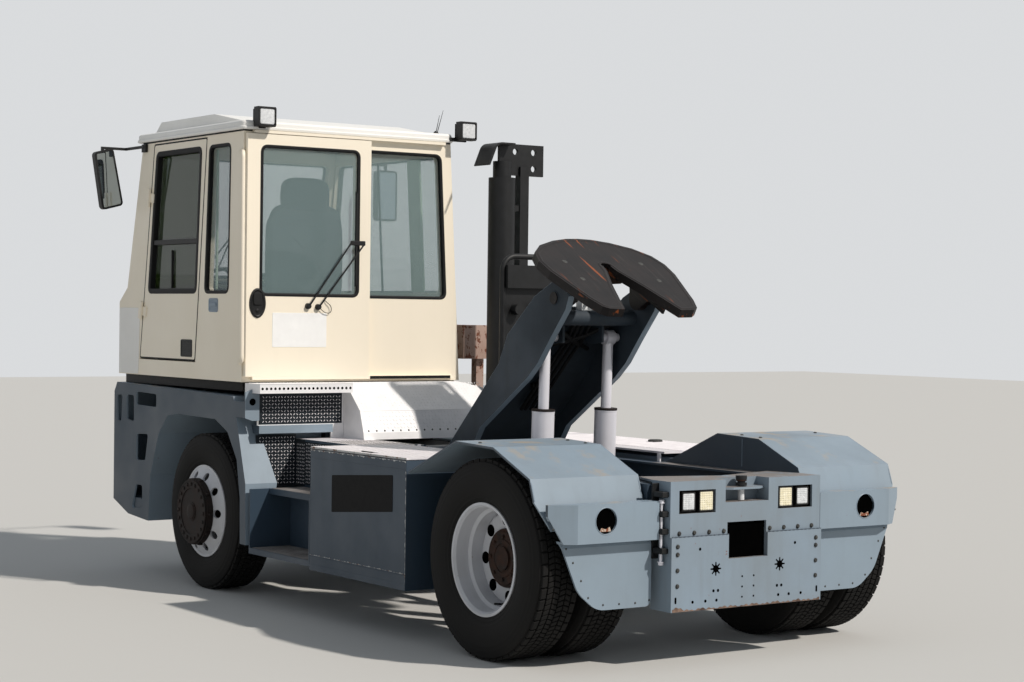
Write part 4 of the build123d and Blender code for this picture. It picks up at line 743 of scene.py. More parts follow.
seal_line = [(-0.001, 2.94), (-0.0015, 2.9495), (0.004, 2.9495), (0.004, 2.94)]
put("roof_seal", band(roof_line, seal_line, LEVEL), black_rubber)
aerials = []
for foot, tip in (
    ((2.76, -0.235, 3.004), (2.757, -0.262, 3.135)), ((2.79, -0.262, 3.004), (2.786, -0.31, 3.172)),
):
    whip = np.linspace(foot, tip, 6)
    aerials += [
        tube(whip, np.linspace(0.0032, 0.0014, 6), 8),
        revolved([(0, 0.02), (0.01, 0.017), (0.024, 0.006)], foot, UP, 16),
    ]
put("roof_aerials", joined(*aerials), black_plastic)

# Mirror glasses and their rims, set in the heads' rear faces
heads = {
    "left": ([(1.48, 2.887), (1.34, 2.922), (1.261, 2.531), (1.416, 2.49)], 4.433),
    "right": ([(-0.99, 2.88), (-0.81, 2.88), (-0.81, 2.5), (-0.99, 2.5)], 4.475),
}
for side, (outline, x_face) in heads.items():
    face = rearward(x_face)
    outline = rounded(outline, 0.028, 6)
    glass_line = inset_lines(outline, (0.014,))[0]
    put("mirror_glass_" + side, plate(glass_line, -0.001, 0.0012, face, 0.0008), mirror_glass)
    rim_line = [(0.001, -0.002), (0.002, 0.004), (0.012, 0.004), (0.015, 0.0005)]
    put("mirror_rim_" + side, band(outline, rim_line, face), black_plastic)

# Crossbeam at the rear: bolts, punched holes, a rusted lower edge, work lamps, a rod and channels at its
# side, a seam weld and the towing pin's collar
BEAM_FACE = rearward(-0.7141)
pairs = [(-0.7002, s * y, 0.693) for s in SIDES for y in (0.46, 0.36, 0.26, 0.16)]
pairs += [(-0.7142, s * 0.48, z) for s in SIDES for z in (0.628, 0.587, 0.505, 0.424)]
beam_bolts = repeated(hex_head(BACK, 0.017, 0.008), pairs)
punched = [(0.33, 0.608), (0.205, 0.386), (0.236, 0.386), (0.376, 0.336), (0.29, 0.336), (0.215, 0.336)]
small = [(-0.7142, s * y, z) for s in SIDES for y, z in punched]
fine = [(-0.7142, s * 0.04, z) for s in SIDES for z in (0.45, 0.396, 0.342)]
disc = revolved([(0.0, 0.008), (0.0008, 0.0077)], ORIGIN, BACK, 16)
fine_disc = revolved([(0.0, 0.0055), (0.0008, 0.0052)], ORIGIN, BACK, 12)
turn = (np.arange(8)[:, None] / 8 * 2 * pi + np.radians([-14.0, -5.5, 5.5, 14.0])).ravel()
star = points_at(np.cos(turn), np.sin(turn)) * np.tile([0.0195, 0.036, 0.036, 0.0195], 8)[:, None]
stars = [plate(star + (s * 0.222, 0.5), 0.0001, 0.001, BEAM_FACE, 0.0003) for s in SIDES]
slot_lines = [rectangle(s * 0.49 - 0.006, s * 0.49 + 0.006, 0.334, 0.368, 0.006, 4) for s in SIDES]
slots_low = [plate(line, 0.0001, 0.001, BEAM_FACE, 0.0003) for line in slot_lines]
put("beam_bolts", beam_bolts, worn_bolt)
punched = joined(repeated(disc, small), repeated(fine_disc, fine), *stars, *slots_low)
put("beam_punched_holes", punched, hole_black)
wave = np.linspace(-0.512, 0.512, 150)
ragged = 0.0065 + 0.006 * np.sin(wave * 23) * np.sin(wave * 61 + 1) + 0.0035 * np.sin(wave * 170)
ragged = 0.2915 + np.maximum(ragged, 0.002) + 0.012 * np.exp(-((wave - 0.5) / 0.06) ** 2)
rust_line = np.vstack([points_at(wave, ragged), [(0.512, 0.2905), (-0.512, 0.2905)]])
put("beam_edge_rust", plate(rust_line, 0.0001, 0.0007, BEAM_FACE, 0.0002), edge_rust)
rail_tops = slab((-0.343, 0.4515, 0.9402), (0.675, 0.5485, 0.9412), 0.0004)
put("rail_top_dust", both(rail_tops), beam_paint)
put("beam_opening_back", slab((-0.684, -0.15, 0.53), (-0.68, 0.15, 0.75), 0.001), hole_black)
lens_parts, clear_parts, rim_parts = [], [], []
for s in SIDES:
    for y_low, y_high, z_low, z_high in ((0.226, 0.326, 0.8, 0.91), (0.35, 0.44, 0.806, 0.904)):
        lens_kind = lens_parts if y_low < 0.3 else clear_parts
        low, high = sorted((s * y_low, s * y_high))
        face = rearward(-0.6921)
        outline = rectangle(low + 0.006, high - 0.006, z_low + 0.006, z_high - 0.006, 0.01, 5)
        lens_kind.append(plate(outline, 0.0, 0.003, face, 0.002))
        cells_y = np.linspace(low + 0.014, high - 0.014, 7)
        cells_z = np.linspace(z_low + 0.014, z_high - 0.014, 8)
        spots = np.stack([a.ravel() for a in np.meshgrid([-0.6951], cells_y, cells_z, indexing="ij")], -1)
        cell = revolved([(0, 0.0055), (0.0018, 0.0045), (0.0026, 0.002)], ORIGIN, BACK, 8)
        lens_kind.append(repeated(cell, spots))
        rim_line = [(0, -0.004), (0.0005, 0.005), (0.006, 0.005), (0.008, -0.004)]
        rim_parts.append(band(rectangle(low, high, z_low, z_high, 0.012, 5), rim_line, face))
put("work_lamp_lenses", joined(*lens_parts), lamp_lens)
put("outer_lamp_lenses", joined(*clear_parts), clear_lens)
put("work_lamp_rims", joined(*rim_parts), black_plastic)
rod = tube([(-0.652, 0.541, 0.548), (-0.652, 0.541, 0.7), (-0.652, 0.541, 0.85)], 0.0085, 14)
upper_nut = hex_head(UP, 0.026, 0.018, (-0.652, 0.541, 0.85))
lower_nut = hex_head(DOWN, 0.026, 0.018, (-0.652, 0.541, 0.548))
put("beam_side_rod", joined(rod, upper_nut, lower_nut), bright_steel)
blocks = [slab((-0.688, 0.519, z), (-0.61, 0.562, z + 0.03), 0.004) for z in (0.59, 0.69, 0.78, 0.88)]
blocks.append(slab((-0.606, 0.519, 0.56), (-0.596, 0.563, 0.95), 0.002))
blocks.append(mirrored(blocks[-1]))
put("beam_side_channel", joined(*blocks), black_paint)
weld = np.linspace(0.139, 0.516, 40)
bead_line = points_at(-0.7135, weld, 0.6765)
put("beam_seam_weld", both(tube(bead_line, 0.0026 + 0.0009 * np.sin(np.arange(40) * 2.1), 8)), box_paint)
collar_line = [(-0.004, 0.0285), (0.004, 0.0285), (0.006, 0.0245), (-0.006, 0.0245)]
put("towing_pin_collar", hoop(collar_line, (-0.65, 0, 0.951), UP, 32), rusty_iron)

# Apron of the rear bulkhead: rivets, tail lamps' rims, pits and brackets, and the towing pin's sleeve
apron_rivets = [
    (1.189, 0.739), (1.107, 0.639), (1.063, 0.567), (1.011, 0.473), (0.965, 0.384), (0.87, 0.342),
    (0.767, 0.34), (0.663, 0.338), (0.572, 0.347),
]
spots = [(-0.6002, s * y, z) for s in SIDES for y, z in apron_rivets]
put("apron_rivets", repeated(round_head(BACK, 0.006, 0.003), spots), worn_bolt)
ring_line = [(-0.004, 0.0663), (0.0015, 0.0663), (0.0025, 0.069), (0.0005, 0.0715), (-0.0005, 0.0715)]
rims, brackets, pits = [], [], []
for s in SIDES:
    y_tail = s * 0.901
    rims.append(hoop(ring_line, (-0.66, y_tail, 0.775), BACK, 40))
    pits.append(revolved([(0, 0.0655), (0.0008, 0.065)], (-0.6482, y_tail, 0.775), BACK, 40))
    foot_line = [
        (y_tail - 0.036, 0.7205), (y_tail + 0.036, 0.7205), (y_tail + 0.026, 0.741),
        (y_tail - 0.004, 0.732), (y_tail - 0.028, 0.744),
    ]
    brackets.append(plate(rounded(foot_line, 0.004, 3), 0.0, 0.0035, rearward(-0.6495), 0.001))
put("tail_lamp_brackets", joined(*brackets), chipped_primer)
put("tail_lamp_rims", joined(*rims), slate_paint)
put("tail_lamp_pits", joined(*pits), hole_black)
sleeve_line = [(0.0, 0.0162), (0.001, 0.0172), (0.056, 0.0172), (0.057, 0.0162)]
sleeve = revolved(sleeve_line, (-0.65, 0, 0.8445), UP, 24)
put("towing_pin_sleeve", sleeve, clear_lens)

# Rear fenders: folded edge beads, inner panels with an upright seam, and bolts on top
fold = np.array([(0.675, 0.942), (0.206, 1.138), (-0.151, 1.125), (-0.48, 0.985), (-0.5165, 0.88)])
fixings = [(0.3, 0.62, 1.0995), (0.06, 0.62, 1.1335), (-0.1, 0.62, 1.1275), (0.06, 1.19, 1.1335)]
edges, bolts = [], []
for s in SIDES:
    for y_edge in (1.2455, 0.5645):
        line = points_at(fold[:, 0], s * y_edge, fold[:, 1] - 0.004)
        edges.append(bent(line, 0.03, 5, 0.0046, 8))
    bolts += [(x, s * y, z) for x, y, z in fixings]
put("rear_fender_beads", joined(*edges), slate_paint)
INNER_FACE = ((0, 0.56, 0), AHEAD, UP, RIGHT)
arch_line = [(-0.31, 0.705), (0.0, 0.985), (0.3, 0.985), (0.68, 0.805), (0.68, 0.705)]
# Painted shade: these panels look across, so the fender paint draws them dark
put("fender_inner_panels", both(plate(arch_line, -0.011, -0.001, INNER_FACE, 0.001)), fender_paint)
seam_line = plate(rectangle(-0.015, -0.009, 0.96, 1.118), -0.0005, 0.0012, INNER_FACE, 0.0005)
put("fender_inner_seams", both(seam_line), slate_paint)
put("rear_fender_bolts", repeated(round_head(UP, 0.011, 0.006), bolts), worn_bolt)

# Battery box: blank plate, weld line between two bands, scuffed edges, and the lid's tread and handle
box_side = leftward(1.25)
blank_line = rounded([(0.83, 0.708), (1.505, 0.649), (1.505, 0.864), (0.83, 0.912)], 0.008, 4)
put("box_side_blank_plate", plate(blank_line, 0.0002, 0.002, box_side, 0.0008), plate_black)
seam = np.linspace(0.7, 1.75, 60)
bead_line = points_at(seam, 1.2505, 0.372)
bead = tube(bead_line, 0.0028 + 0.0009 * np.sin(np.arange(60) * 1.9), 8)
box_bands = [
    plate(rectangle(0.6905, 1.7595, *levels), 0.0001, 0.0022, box_side, 0.0008)
    for levels in ((0.952, 0.998), (0.287, 0.322))
]
put("box_side_weld", joined(bead, *box_bands), box_paint)
edge_line = plate(rectangle(0.694, 1.756, 1.006, 1.0148), 0.0001, 0.0016, box_side, 0.0005)
wave = np.linspace(0.6925, 1.7575, 160)
scuffs = []
for level, deep, seed, low, high in (
    (0.9978, -0.006, 0.0, 0.0023, 0.0029), (0.3755, 0.004, 2.0, 0.0001, 0.0007),
):
    ragged = 0.55 + np.sin(wave * 29 + seed) * np.sin(wave * 83) + 0.5 * np.sin(wave * 210 + seed)
    ragged = level + deep * np.clip(ragged, 0.12, 1.6)
    line = np.vstack([points_at(wave, ragged), [(1.7575, level), (0.6925, level)]])
    scuffs.append(plate(line, low, high, box_side, 0.0002))
climb = np.linspace(0.33, 0.94, 110)
ragged = 0.5 + np.sin(climb * 31) * np.sin(climb * 77 + 1) + 0.5 * np.sin(climb * 190)
ragged = 0.6935 + 0.004 * np.clip(ragged, 0.12, 1.6)
line = np.vstack([points_at(ragged, climb), [(0.6935, 0.94), (0.6935, 0.33)]])
scuffs.append(plate(line, 0.0001, 0.0007, box_side, 0.0002))
put("box_edge_scuffs", joined(*scuffs), worn_white)
put("lid_worn_edge", edge_line, worn_white, "battery_lid")
LID = upward(1.015)
lid_lugs = joined(
    lugs(LID, (0.695, 0.64), (1.755, 1.16)), lugs(LID, (0.695, 1.166), (1.112, 1.245)),
    lugs(LID, (1.308, 1.166), (1.755, 1.245)),
)
put("lid_tread", lid_lugs, plate_aluminium, "battery_lid")
recess = slab((1.122, 1.167, 1.0091), (1.298, 1.213, 1.0102), 0.0004)
pull_line = [(1.15, 1.19, 1.0095), (1.15, 1.19, 1.0148), (1.27, 1.19, 1.0148), (1.27, 1.19, 1.0095)]
put("lid_handle", joined(recess, bent(pull_line, 0.004, 4, 0.004, 8)), black_plastic, "battery_lid")

# Steps up to the cab: riser and back plates with small lugs, punched holes, tread and folded edge
riser = slab((2.6182, 0.545, 1.096), (2.6196, 1.146, 1.289), 0.0005)
entry = plate(rectangle(1.806, 2.544, 0.716, 0.986, 0.004), 0.0002, 0.0014, leftward(0.85), 0.0005)
put("riser_plates", joined(riser, entry), dark_tread)
SMALL_LUG = (0.0078, 0.0028, 0.0016)
riser_lugs = lugs(rearward(2.6182), (0.552, 1.102), (1.14, 1.284), 0.022, SMALL_LUG)
entry_lugs = lugs(leftward(0.8514), (1.812, 0.72), (2.54, 0.982), 0.022, SMALL_LUG)
put("riser_pips", joined(riser_lugs, entry_lugs), plate_aluminium)
step_dots = revolved([(0, 0.0085), (0.0008, 0.0082)], ORIGIN, BACK, 14)
along = np.arange(0.552, 1.19, 0.03)
dots = repeated(step_dots, points_at(2.5001, along, 1.325))
bore = repeated(revolved([(0, 0.022), (0.0008, 0.0217)], ORIGIN, BACK, 24), [(2.5999, 1.198, 1.24)])
put("step_holes", joined(dots, bore), hole_black)
STEP_TOP = upward(1.355)
put("step_tread", lugs(STEP_TOP, (2.503, 0.536), (2.698, 1.196), 0.024), bright_plate)
cap = joined(
    slab((2.4975, 0.533, 1.3525), (2.52, 1.199, 1.3562), 0.001),
    slab((2.4975, 0.533, 1.2955), (2.4998, 1.199, 1.3005), 0.0008),
)
put("step_edge", cap, bright_plate)

# Entry treads: an aluminium plate with lugs on each
parts = []
for level, y_low, y_high in ((0.7003, 0.862, 1.09), (0.3353, 0.962, 1.225)):
    top = level + 0.0022
    parts.append(slab((1.812, y_low, level), (2.538, y_high, top), 0.0008))
    parts.append(lugs(upward(top), (1.812 + 0.006, y_low + 0.006), (2.538 - 0.006, y_high - 0.006)))
put("entry_treads", joined(*parts), dirty_plate)


# Engine cover: lugs on its slopes and top, rivets along its foot, and its folds
def slope(low, high):
    """The cover's side between two points of its outline, and the distance between them."""
    run = unit(np.array([high[0] - low[0], 0, high[1] - low[1]]))
    face = ((low[0], 0, low[1]), LEFT, tuple(run), tuple(np.cross(RIGHT, run)))
    return face, float(np.hypot(high[0] - low[0], high[1] - low[1]))


foot, bend, crest = (2.367, 1.044), (2.414, 1.181), (2.6, 1.355)
parts = []
for low, high, margin in ((foot, bend, 0.02), (bend, crest, 0.004)):
    face, long = slope(low, high)
    parts.append(lugs(face, (-0.498, margin), (0.524, long - 0.004), 0.025))
parts.append(lugs(STEP_TOP, (2.603, -0.33), (2.696, 0.526), 0.025))
put("cover_tread", joined(*parts), bright_plate)
face, long = slope(foot, bend)
v = np.arange(-0.47, 0.52, 0.06)
spots = on_face(face, points_at(v, 0.012), 0.0)
put("cover_rivets", repeated(round_head(face[3], 0.0065, 0.0035), spots), worn_bolt)
fold_ends = ((2.414, -0.503, 1.181), (2.6, -0.335, 1.3545))
fold_lines = [tube([(x, y, z), (x, 0.529, z)], 0.0022, 8) for x, y, z in fold_ends]
put("cover_folds", joined(*fold_lines), bright_plate)

# Right deck: pressed ribs across it; left deck: lugs
ribs = np.arange(0.712, 2.545, 0.03)
keep = ~((ribs > 2.31) & (ribs < 2.45))
rib = slab((-0.006, -1.236, 1.0), (0.006, -0.705, 1.0032), 0.0015)
deck_ribs = repeated(rib, points_at(ribs[keep], 0.0, 0.0))
put("deck_ribs", deck_ribs, plate_aluminium)
DECK = upward(1.0)
put("left_deck_tread", lugs(DECK, (1.796, 0.456), (2.354, 0.832)), dirty_plate)

# Below the cab: black bands in the gap between it and the body, a painted shadow; step well's closing plates
# beside the front wheel
# Painted shadow: black slabs filling the gap under the cab
cab_gap_shade = [
    slab((2.742, 1.15, 1.2995), (4.505, 1.196, 1.3598), 0.003),
    slab((2.742, -0.395, 1.2995), (4.505, -0.35, 1.3598), 0.003),
    slab((4.47, -0.34, 1.2995), (4.505, 1.14, 1.3598), 0.003),
]
put("cab_gap_painted_shadow", joined(*cab_gap_shade), black_rubber)
well = [
    plate(rectangle(2.545, 2.666, 0.704, 0.999, 0.003), 0.0, 0.004, leftward(0.8462), 0.001),
    plate([(0.852, 0.704), (1.12, 0.704), (1.14, 1.028), (0.852, 1.028)], 0.0, 0.004, rearward(2.668), 0.001),
]
put("step_well_plates", joined(*well), dark_tread)
well_lugs = joined(
    lugs(leftward(0.8502), (2.55, 0.712), (2.664, 0.994), 0.022, SMALL_LUG),
    lugs(rearward(2.664), (0.856, 0.712), (1.118, 1.024), 0.022, SMALL_LUG),
)
put("step_well_pips", well_lugs, plate_aluminium)
deck_end = plate(rectangle(2.638, 2.706, 0.56, 0.85, 0.003), 0.99, 1.0, LEVEL, 0.001)
put("left_deck_end", deck_end, dirty_plate)

# Front: headlamp glasses and rims, air slot mesh, bumper bolts and seams, blank plate and screen wipers
FRONT = ((4.5751, 0, 0), LEFT, UP, AHEAD)
Z_LAMP, RIB_HALF = 0.6, 0.002
lenses, rims = [], []
for s in SIDES:
    for y_lamp, r in ((0.52, 0.085), (0.33, 0.07)):
        spot, glass = (4.5871, s * y_lamp, Z_LAMP), r - 0.012
        lens_line = [(0, glass), (0.004, r - 0.016), (0.01, glass * 0.6), (0.012, glass * 0.2)]
        lenses.append(revolved(lens_line, spot, AHEAD, 40))
        for u in np.arange(-0.048, 0.049, 0.012):
            if abs(u) < r - 0.022:
                y, h = s * y_lamp + u, float(np.sqrt(max((r - 0.016) ** 2 - u ** 2, 0.0001)))
                rib_line = rectangle(y - RIB_HALF, y + RIB_HALF, Z_LAMP - h, Z_LAMP + h)
                lenses.append(plate(rib_line, 0.0115, 0.0165, FRONT, 0.001))
        rim_line = [
            (-0.01, r + 0.004), (0.006, r + 0.002), (0.009, r - 0.006), (0.004, glass), (-0.01, glass),
        ]
        rims.append(hoop(rim_line, spot, AHEAD, 48))
put("headlamp_glasses", joined(*lenses), clear_lens)
put("headlamp_rims", joined(*rims), bright_steel)
wires = [tube([(4.549, y, 0.772), (4.549, y, 1.205)], 0.0016, 6) for y in np.arange(-0.4125, 0.42, 0.0125)]
wires += [tube([(4.552, -0.425, z), (4.552, 0.425, z)], 0.0016, 6) for z in np.arange(0.775, 1.205, 0.0125)]
put("air_slot_mesh", joined(*wires), black_paint)
bumper_spots = [
    (4.5752, s * y, z) for s in SIDES
    for y, z in ((0.58, 1.24), (0.3, 1.24), (0.58, 0.82), (0.58, 0.43), (0.3, 0.43))
]
put("bumper_bolts", repeated(hex_head(AHEAD, 0.019, 0.009), bumper_spots), worn_bolt)
blank_front = plate(rectangle(-0.26, 0.26, 0.44, 0.55, 0.008, 4), 0.0002, 0.0022, FRONT, 0.0008)
put("front_blank_plate", blank_front, plate_white)
seams = [plate(rectangle(-0.615, 0.615, z, z + 0.004), 0.0001, 0.0012, FRONT, 0.0004) for z in (0.735, 1.262)]
put("bumper_seams", joined(*seams), hole_black)
wiper = []
for foot, tip, low_end, high_end in (
    ((0.25, -0.455), (0.02, -0.12), (0.11, -0.395), (-0.07, 0.155)),
    ((-0.3, -0.455), (-0.53, -0.12), (-0.44, -0.395), (-0.62, 0.155)),
):
    flat = np.array([foot, foot, tip])
    hub_place = on_face(SCREEN_FACE, flat[:1], [0.001])[0]
    blade = on_face(SCREEN_FACE, np.array([low_end, tip, high_end]), [0.01, 0.012, 0.01])
    wiper += [
        tube(on_face(SCREEN_FACE, flat, [0.002, 0.024, 0.014]), 0.0062, 8),
        revolved([(0, 0.022), (0.016, 0.02), (0.024, 0.012)], hub_place, SCREEN_FACE[3], 20),
        tube(blade, 0.0055, 8),
    ]
put("screen_wiper", joined(*wiper), black_plastic)

# Right side: tank straps, filler cap and drain plugs
straps, fittings = [], []
for x_low, x_high in ((0.69, 1.64), (1.68, 2.42)):
    for share in (0.22, 0.78):
        x = x_low + (x_high - x_low) * share
        straps.append(slab((x - 0.022, -1.2335, 0.338), (x + 0.022, -1.2302, 0.938), 0.001))
        straps.append(slab((x - 0.022, -1.2335, 0.3365), (x + 0.022, -0.64, 0.3399), 0.001))
        fittings.append(hex_head(RIGHT, 0.019, 0.012, (x, -1.2335, 0.905)))
        fittings.append(hex_head(RIGHT, 0.019, 0.012, (x, -1.2335, 0.375)))
    fittings.append(hex_head(DOWN, 0.03, 0.012, ((x_low + x_high) / 2, -0.93, 0.3399)))
cap_line = [(0, 0.046), (0.003, 0.047), (0.014, 0.046), (0.016, 0.04), (0.013, 0.036), (0.013, 0.01)]
fittings.append(revolved(cap_line, (1.45, -1.1, 1.0005), UP, 40))
put("tank_straps", joined(*straps), black_paint)
put("tank_fittings", joined(*fittings), worn_bolt)

# Boom: painted highlights along its edges, grease caps on its pins, pipes and a valve block on its web, and
# the lift sleeves' rings
ARM = [
    (1.69, 0.985), (1.14, 1.515), (1.05, 1.69), (0.78, 1.915), (0.6, 2.0), (0.5, 1.965), (0.45, 1.915),
    (0.48, 1.84), (0.62, 1.68), (0.745, 1.53), (0.85, 1.44), (1.33, 1.13), (1.53, 0.85), (1.62, 0.8),
]
# Painted highlight: lighter slate bands round the arms' outlines where the sun would catch their edges
edge_line = [(-0.0012, -0.0005), (-0.0012, -0.0395), (0.0003, -0.0395), (0.0003, -0.0005)]
edges = []
for s in SIDES:
    face = ((0, s * 0.34, 0), AHEAD, UP, (0, s, 0))
    edges.append(band(ARM, edge_line, face))
put("boom_painted_edge_highlights", joined(*edges), slate_paint, "boom")
caps = []
for s in SIDES:
    for x, z, r in ((0.585, 1.905, 0.044), (1.62, 0.9, 0.062)):
        cap_line = [(0, r), (0.002, r - 0.001), (0.003, r - 0.003)]
        caps.append(revolved(cap_line, (x, s * 0.3402, z), (0, s, 0), 32))
    plug_line = [(0, 0.012), (0.003, 0.011), (0.004, 0.008)]
    caps.append(revolved(plug_line, (1.575, s * 0.3402, 0.985), (0, s, 0), 14))
put("boom_pin_caps", joined(*caps), boom_paint, "boom")
pipes = []
for y_pipe, drop in ((0.06, 0.0), (0.03, 0.012), (-0.01, 0.004), (-0.05, 0.016)):
    run = [
        (0.742, y_pipe, 1.815 - drop), (0.84, y_pipe - 0.02, 1.7 - drop), (0.985, y_pipe - 0.05, 1.6),
        (1.06, y_pipe, 1.465), (1.3, y_pipe, 1.235),
    ]
    pipes.append(bent(run, 0.08, 7, 0.011, 10))
for start, end in (
    ((0.735, 0.285, 1.8), (0.99, -0.2, 1.61)), ((0.735, -0.285, 1.8), (0.99, 0.2, 1.61)),
    ((0.76, 0.15, 1.8), (1.0, 0.285, 1.58)),
):
    middle = (np.asarray(start) + end) / 2 - (0.012, 0, 0.03)
    pipes.append(bent([start, middle, end], 0.1, 9, 0.013, 10))
clamps = [
    slab((0.9, -0.07, 1.642), (0.94, 0.08, 1.668), 0.004),
    slab((1.15, -0.07, 1.372), (1.18, 0.08, 1.398), 0.004),
]
put("boom_pipes", joined(*pipes, *clamps), black_rubber, "boom")
valve_block = joined(
    slab((0.66, 0.01, 1.835), (0.72, 0.09, 1.905), 0.006),
    repeated(hex_head(BACK, 0.02, 0.02), [(0.66, 0.03, 1.87), (0.66, 0.068, 1.87)]),
)
put("boom_valve_block", valve_block, clear_lens, "boom")
CYLINDER_LEAN, CYLINDER_FOOT = np.array([-0.03411, 0, 0.99942]), np.array([0.865, 0.228, 0.42])
wiper_line = [
    (-0.01, 0.0655), (-0.01, 0.069), (0.002, 0.0685), (0.004, 0.04), (0.001, 0.034), (-0.004, 0.034),
]
for sign, side in SIDE_NAMES.items():
    sleeve_end = CYLINDER_FOOT * (1, sign, 1) + CYLINDER_LEAN * 0.84
    ring = hoop(wiper_line, sleeve_end, CYLINDER_LEAN, 40)
    put("sleeve_wiper_ring_" + side, ring, sooty_iron, "sleeve_" + side)

# Coupling plate: lock jaws and bar at the throat, a raised welt round the edge, and bolts over the ears
PIN = np.array([0.585, 0.0, 1.905])
along_plate = np.array([cos(PLATE_TILT), 0, sin(PLATE_TILT)])
square_plate = np.array([-sin(PLATE_TILT), 0, cos(PLATE_TILT)])
TOP = (tuple(PIN + square_plate * 0.184), tuple(along_plate), LEFT, tuple(square_plate))
jaws = []
for s in SIDES:
    jaw = [
        (0.02, s * 0.029), (0.1, s * 0.029), (0.15, s * 0.004), (0.2, s * 0.006), (0.21, s * 0.11),
        (0.03, s * 0.13),
    ]
    jaws.append(plate(rounded(jaw, 0.01, 4), -0.1, -0.052, TOP, 0.004))
bar_line = [(0.06, -0.135), (0.095, -0.135), (0.095, -0.42), (0.06, -0.42)]
jaws.append(plate(rounded(bar_line, 0.01, 4), -0.085, -0.067, TOP, 0.003))
half = [
    (0.388, 0), (0.382, 0.09), (0.352, 0.205), (0.29, 0.335), (0.2, 0.425), (0.1, 0.456), (-0.02, 0.45),
    (-0.323, 0.374), (-0.41, 0.338), (-0.435, 0.3), (-0.44, 0.2), (-0.17, 0.108), (0.0, 0.036),
    (0.058, 0.027),
]
apex = [(0.058 + 0.027 * sin(a), 0.027 * cos(a)) for a in (0.5, 1.0, pi / 2, pi - 1.0, pi - 0.5)]
whole = half + apex + [(u, -v) for u, v in half[:0:-1]]
welt = band(whole, [(0.01, 0.0), (0.014, 0.0022), (0.024, 0.0022), (0.03, 0.0)], TOP)
put("coupling_jaws", joined(*jaws), rusty_iron, "fifth_wheel")
put("coupling_edge_welt", welt, greasy_steel, "fifth_wheel")
flat_head = revolved([(0, 0.017), (0.0015, 0.015), (0.0018, 0.008)], ORIGIN, square_plate, 20)
ear_bolts = []
for s in SIDES:
    spots = on_face(TOP, np.array([(-0.1, s * 0.275), (0.1, s * 0.275)]), 0.0)
    ear_bolts.append(repeated(flat_head, spots))
put("coupling_bolts", joined(*ear_bolts), worn_bolt, "fifth_wheel")


# Driver's seat: padded back, headrest and base, over its bellows and frame with two armrests
def soft(wave, exponent):
    """A sine or cosine raised to a power with its sign kept."""
    return np.sign(wave) * np.abs(wave) ** exponent


def cushion(centre, half, power, taper=0.0, channels=(), axes=(AHEAD, LEFT, UP)):
    """A crowned, closed pad: a superellipsoid whose pole axis is its thickness, cosines and sines raised
    to the two powers, narrowed towards its top, with sewn channels pressed in as narrow bells. Its
    thickness, width and height run along three directions."""
    lift = np.linspace(-pi / 2 + 0.02, pi / 2 - 0.02, 40)[:, None]
    around = np.arange(64)[None] / 64 * 2 * pi
    thick = soft(np.sin(lift), power[0]) + 0 * around
    wide = soft(np.cos(lift), power[0]) * soft(np.cos(around), power[1])
    tall = soft(np.cos(lift), power[0]) * soft(np.sin(around), power[1])
    wide = wide * (1 - taper * np.clip(tall, 0, 1) ** 3)
    thick = thick * (1 - 0.1 * (wide ** 2 + tall ** 2))
    for place in channels:
        thick = thick * (1 - 0.22 * np.exp(-((tall - place) / 0.03) ** 2))
    axes, half = np.asarray(axes, float), np.asarray(half, float)
    points = np.asarray(centre, float)
    for reach, share, axis in zip(half, (thick, wide, tall), axes):
        points = points + reach * share[..., None] * axis
    return grid(points, capped=True)


FLAT = (UP, LEFT, AHEAD)
SEAT, HEAD, BOLSTER = (0.45, 0.28), (0.5, 0.42), (0.5, 0.4)
seat_back = joined(
    cushion((3.058, 0.585, 2.18), (0.052, 0.275, 0.33), SEAT, 0.1, (-0.55, -0.15, 0.25, 0.62)),
    cushion((3.056, 0.59, 2.57), (0.048, 0.175, 0.118), HEAD, 0.15),
    cushion((3.085, 0.81, 2.15), (0.04, 0.045, 0.27), BOLSTER),
    cushion((3.085, 0.36, 2.15), (0.04, 0.045, 0.27), BOLSTER),
)
pad = put("seat_back_pad", seat_back, seat_cloth, replaces=("driver_seat",), crease=60)
seat_base = joined(
    cushion((3.35, 0.58, 1.868), (0.052, 0.245, 0.245), SEAT, 0.06, (-0.5, 0.0, 0.5), FLAT),
    cushion((3.33, 0.815, 1.885), (0.038, 0.04, 0.22), BOLSTER, axes=FLAT),
    cushion((3.33, 0.345, 1.885), (0.038, 0.04, 0.22), BOLSTER, axes=FLAT),
)
put("seat_base_pad", seat_base, seat_cloth, crease=60)
turns_up = np.linspace(0, 1, 61)
bellows = points_at(1.52 + 0.23 * turns_up, 0.135 + 0.012 * np.sin(turns_up * 12 * 2 * pi))
bellows = revolved(bellows, (3.4, 0.58, 0.0), UP, 40)
seat_frame = joined(
    bellows, slab((3.21, 0.4, 1.4105), (3.59, 0.76, 1.52), 0.012),
    slab((3.13, 0.37, 1.75), (3.58, 0.79, 1.812), 0.01), slab((3.04, 0.42, 1.8), (3.12, 0.74, 1.88), 0.01),
    *(bent([(3.09, y, 2.0), (3.09, y, 2.04), (3.38, y, 2.05)], 0.02, 5, 0.016, 12) for y in (0.855, 0.325)),
)
put("seat_frame", seat_frame, black_plastic)

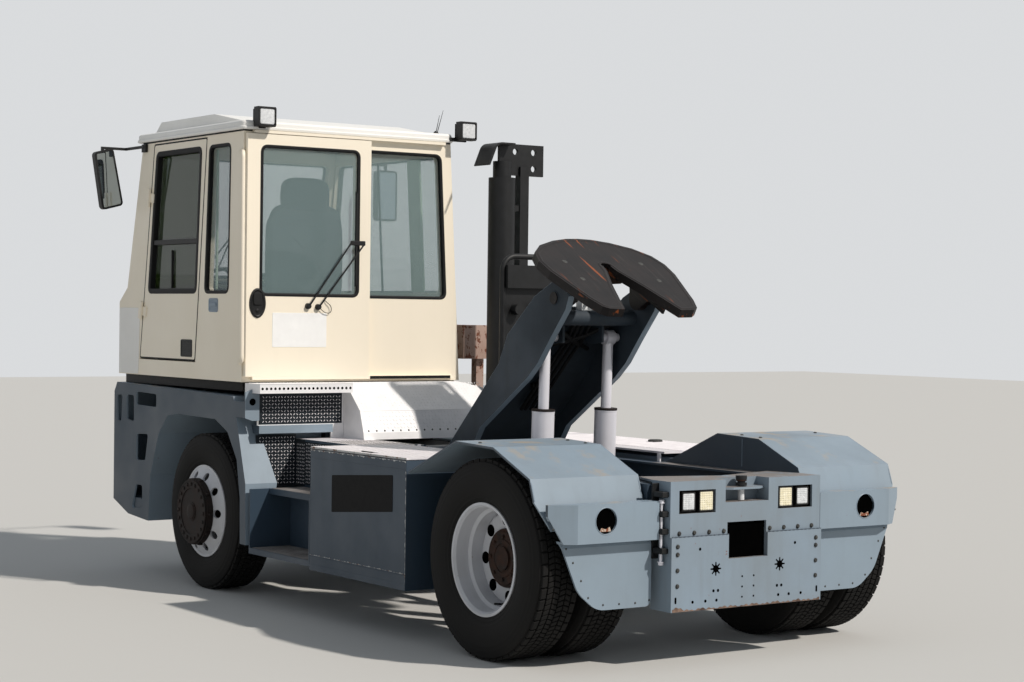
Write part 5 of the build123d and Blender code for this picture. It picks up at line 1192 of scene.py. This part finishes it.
# Inside the cab: a pale green post and a bar at the right window, dashboard, dials and levers
post = plate(rectangle(3.03, 3.185, 1.952, 2.858, 0.012, 4), -0.058, -0.04, RIGHT_FACE, 0.004)
put("right_window_post", post, mint_trim)
bar = plate(rectangle(3.584, 3.602, 1.952, 2.858), -0.046, -0.036, RIGHT_FACE, 0.002)
put("right_window_bar", bar, black_rubber)
dial_line = [(0, 0.03), (0.004, 0.028), (0.006, 0.024)]
panel = [
    slab((4.15, 0.18, 1.8305), (4.42, 0.96, 1.88), 0.012), slab((4.17, 0.42, 1.88), (4.4, 0.72, 1.96), 0.02),
    *(revolved(dial_line, (4.168, y, 1.915), BACK, 28) for y in (0.5, 0.64)),
    slab((3.15, 0.02, 1.4105), (3.65, 0.26, 1.78), 0.02),
    tube([(3.55, 0.14, 1.775), (3.555, 0.14, 1.86), (3.565, 0.14, 1.93)], 0.008, 10),
    revolved([(0, 0.01), (0.006, 0.02), (0.024, 0.022), (0.036, 0.012)], (3.565, 0.14, 1.925), UP, 20),
    tube([(3.42, 0.18, 1.775), (3.425, 0.18, 1.84), (3.43, 0.18, 1.89)], 0.006, 10),
    revolved([(0, 0.008), (0.006, 0.016), (0.02, 0.017), (0.03, 0.009)], (3.43, 0.18, 1.885), UP, 20),
]
put("cab_controls", joined(*panel), black_plastic)

# Studio: a plain pale sky that fills the shadows gently, and is seen brighter than it lights
FILL_STRENGTH, SHOWN_STRENGTH, SUN_STRENGTH = 0.37, 0.9, 3.3
world = bpy.data.worlds.new("studio")
bpy.context.scene.world = world
world.use_nodes = True
sky = world.node_tree
sky.nodes.clear()
paths = add(sky, "ShaderNodeLightPath").node.outputs
seen = add(sky, MATH, {0: paths["Is Camera Ray"], 1: paths["Is Glossy Ray"]}, operation="MAXIMUM")
seen = add(sky, MATH, {0: seen, 1: paths["Is Transmission Ray"]}, operation="MAXIMUM")
fill = add(sky, "ShaderNodeBackground", {0: "#DCE5F0", 1: FILL_STRENGTH})
shown = add(sky, "ShaderNodeBackground", {0: "#E4E6E8", 1: SHOWN_STRENGTH})
add(sky, "ShaderNodeOutputWorld", {0: add(sky, "ShaderNodeMixShader", {0: seen, 1: fill, 2: shown})})

# Key light: a late sun from behind on the right, about 45 degrees up
sun_data = bpy.data.lights.new("key_sun", "SUN")
sun_data.energy = SUN_STRENGTH
sun_data.color = linear("#FFF8F0")[:3]
sun_data.angle = radians(2)
sun = bpy.data.objects.new("key_sun", sun_data)
sun.location = (-9, -4.5, 10)
sun.rotation_euler = (Vector((0, 0, 0.5)) - sun.location).to_track_quat("-Z", "Y").to_euler()
bpy.context.collection.objects.link(sun)
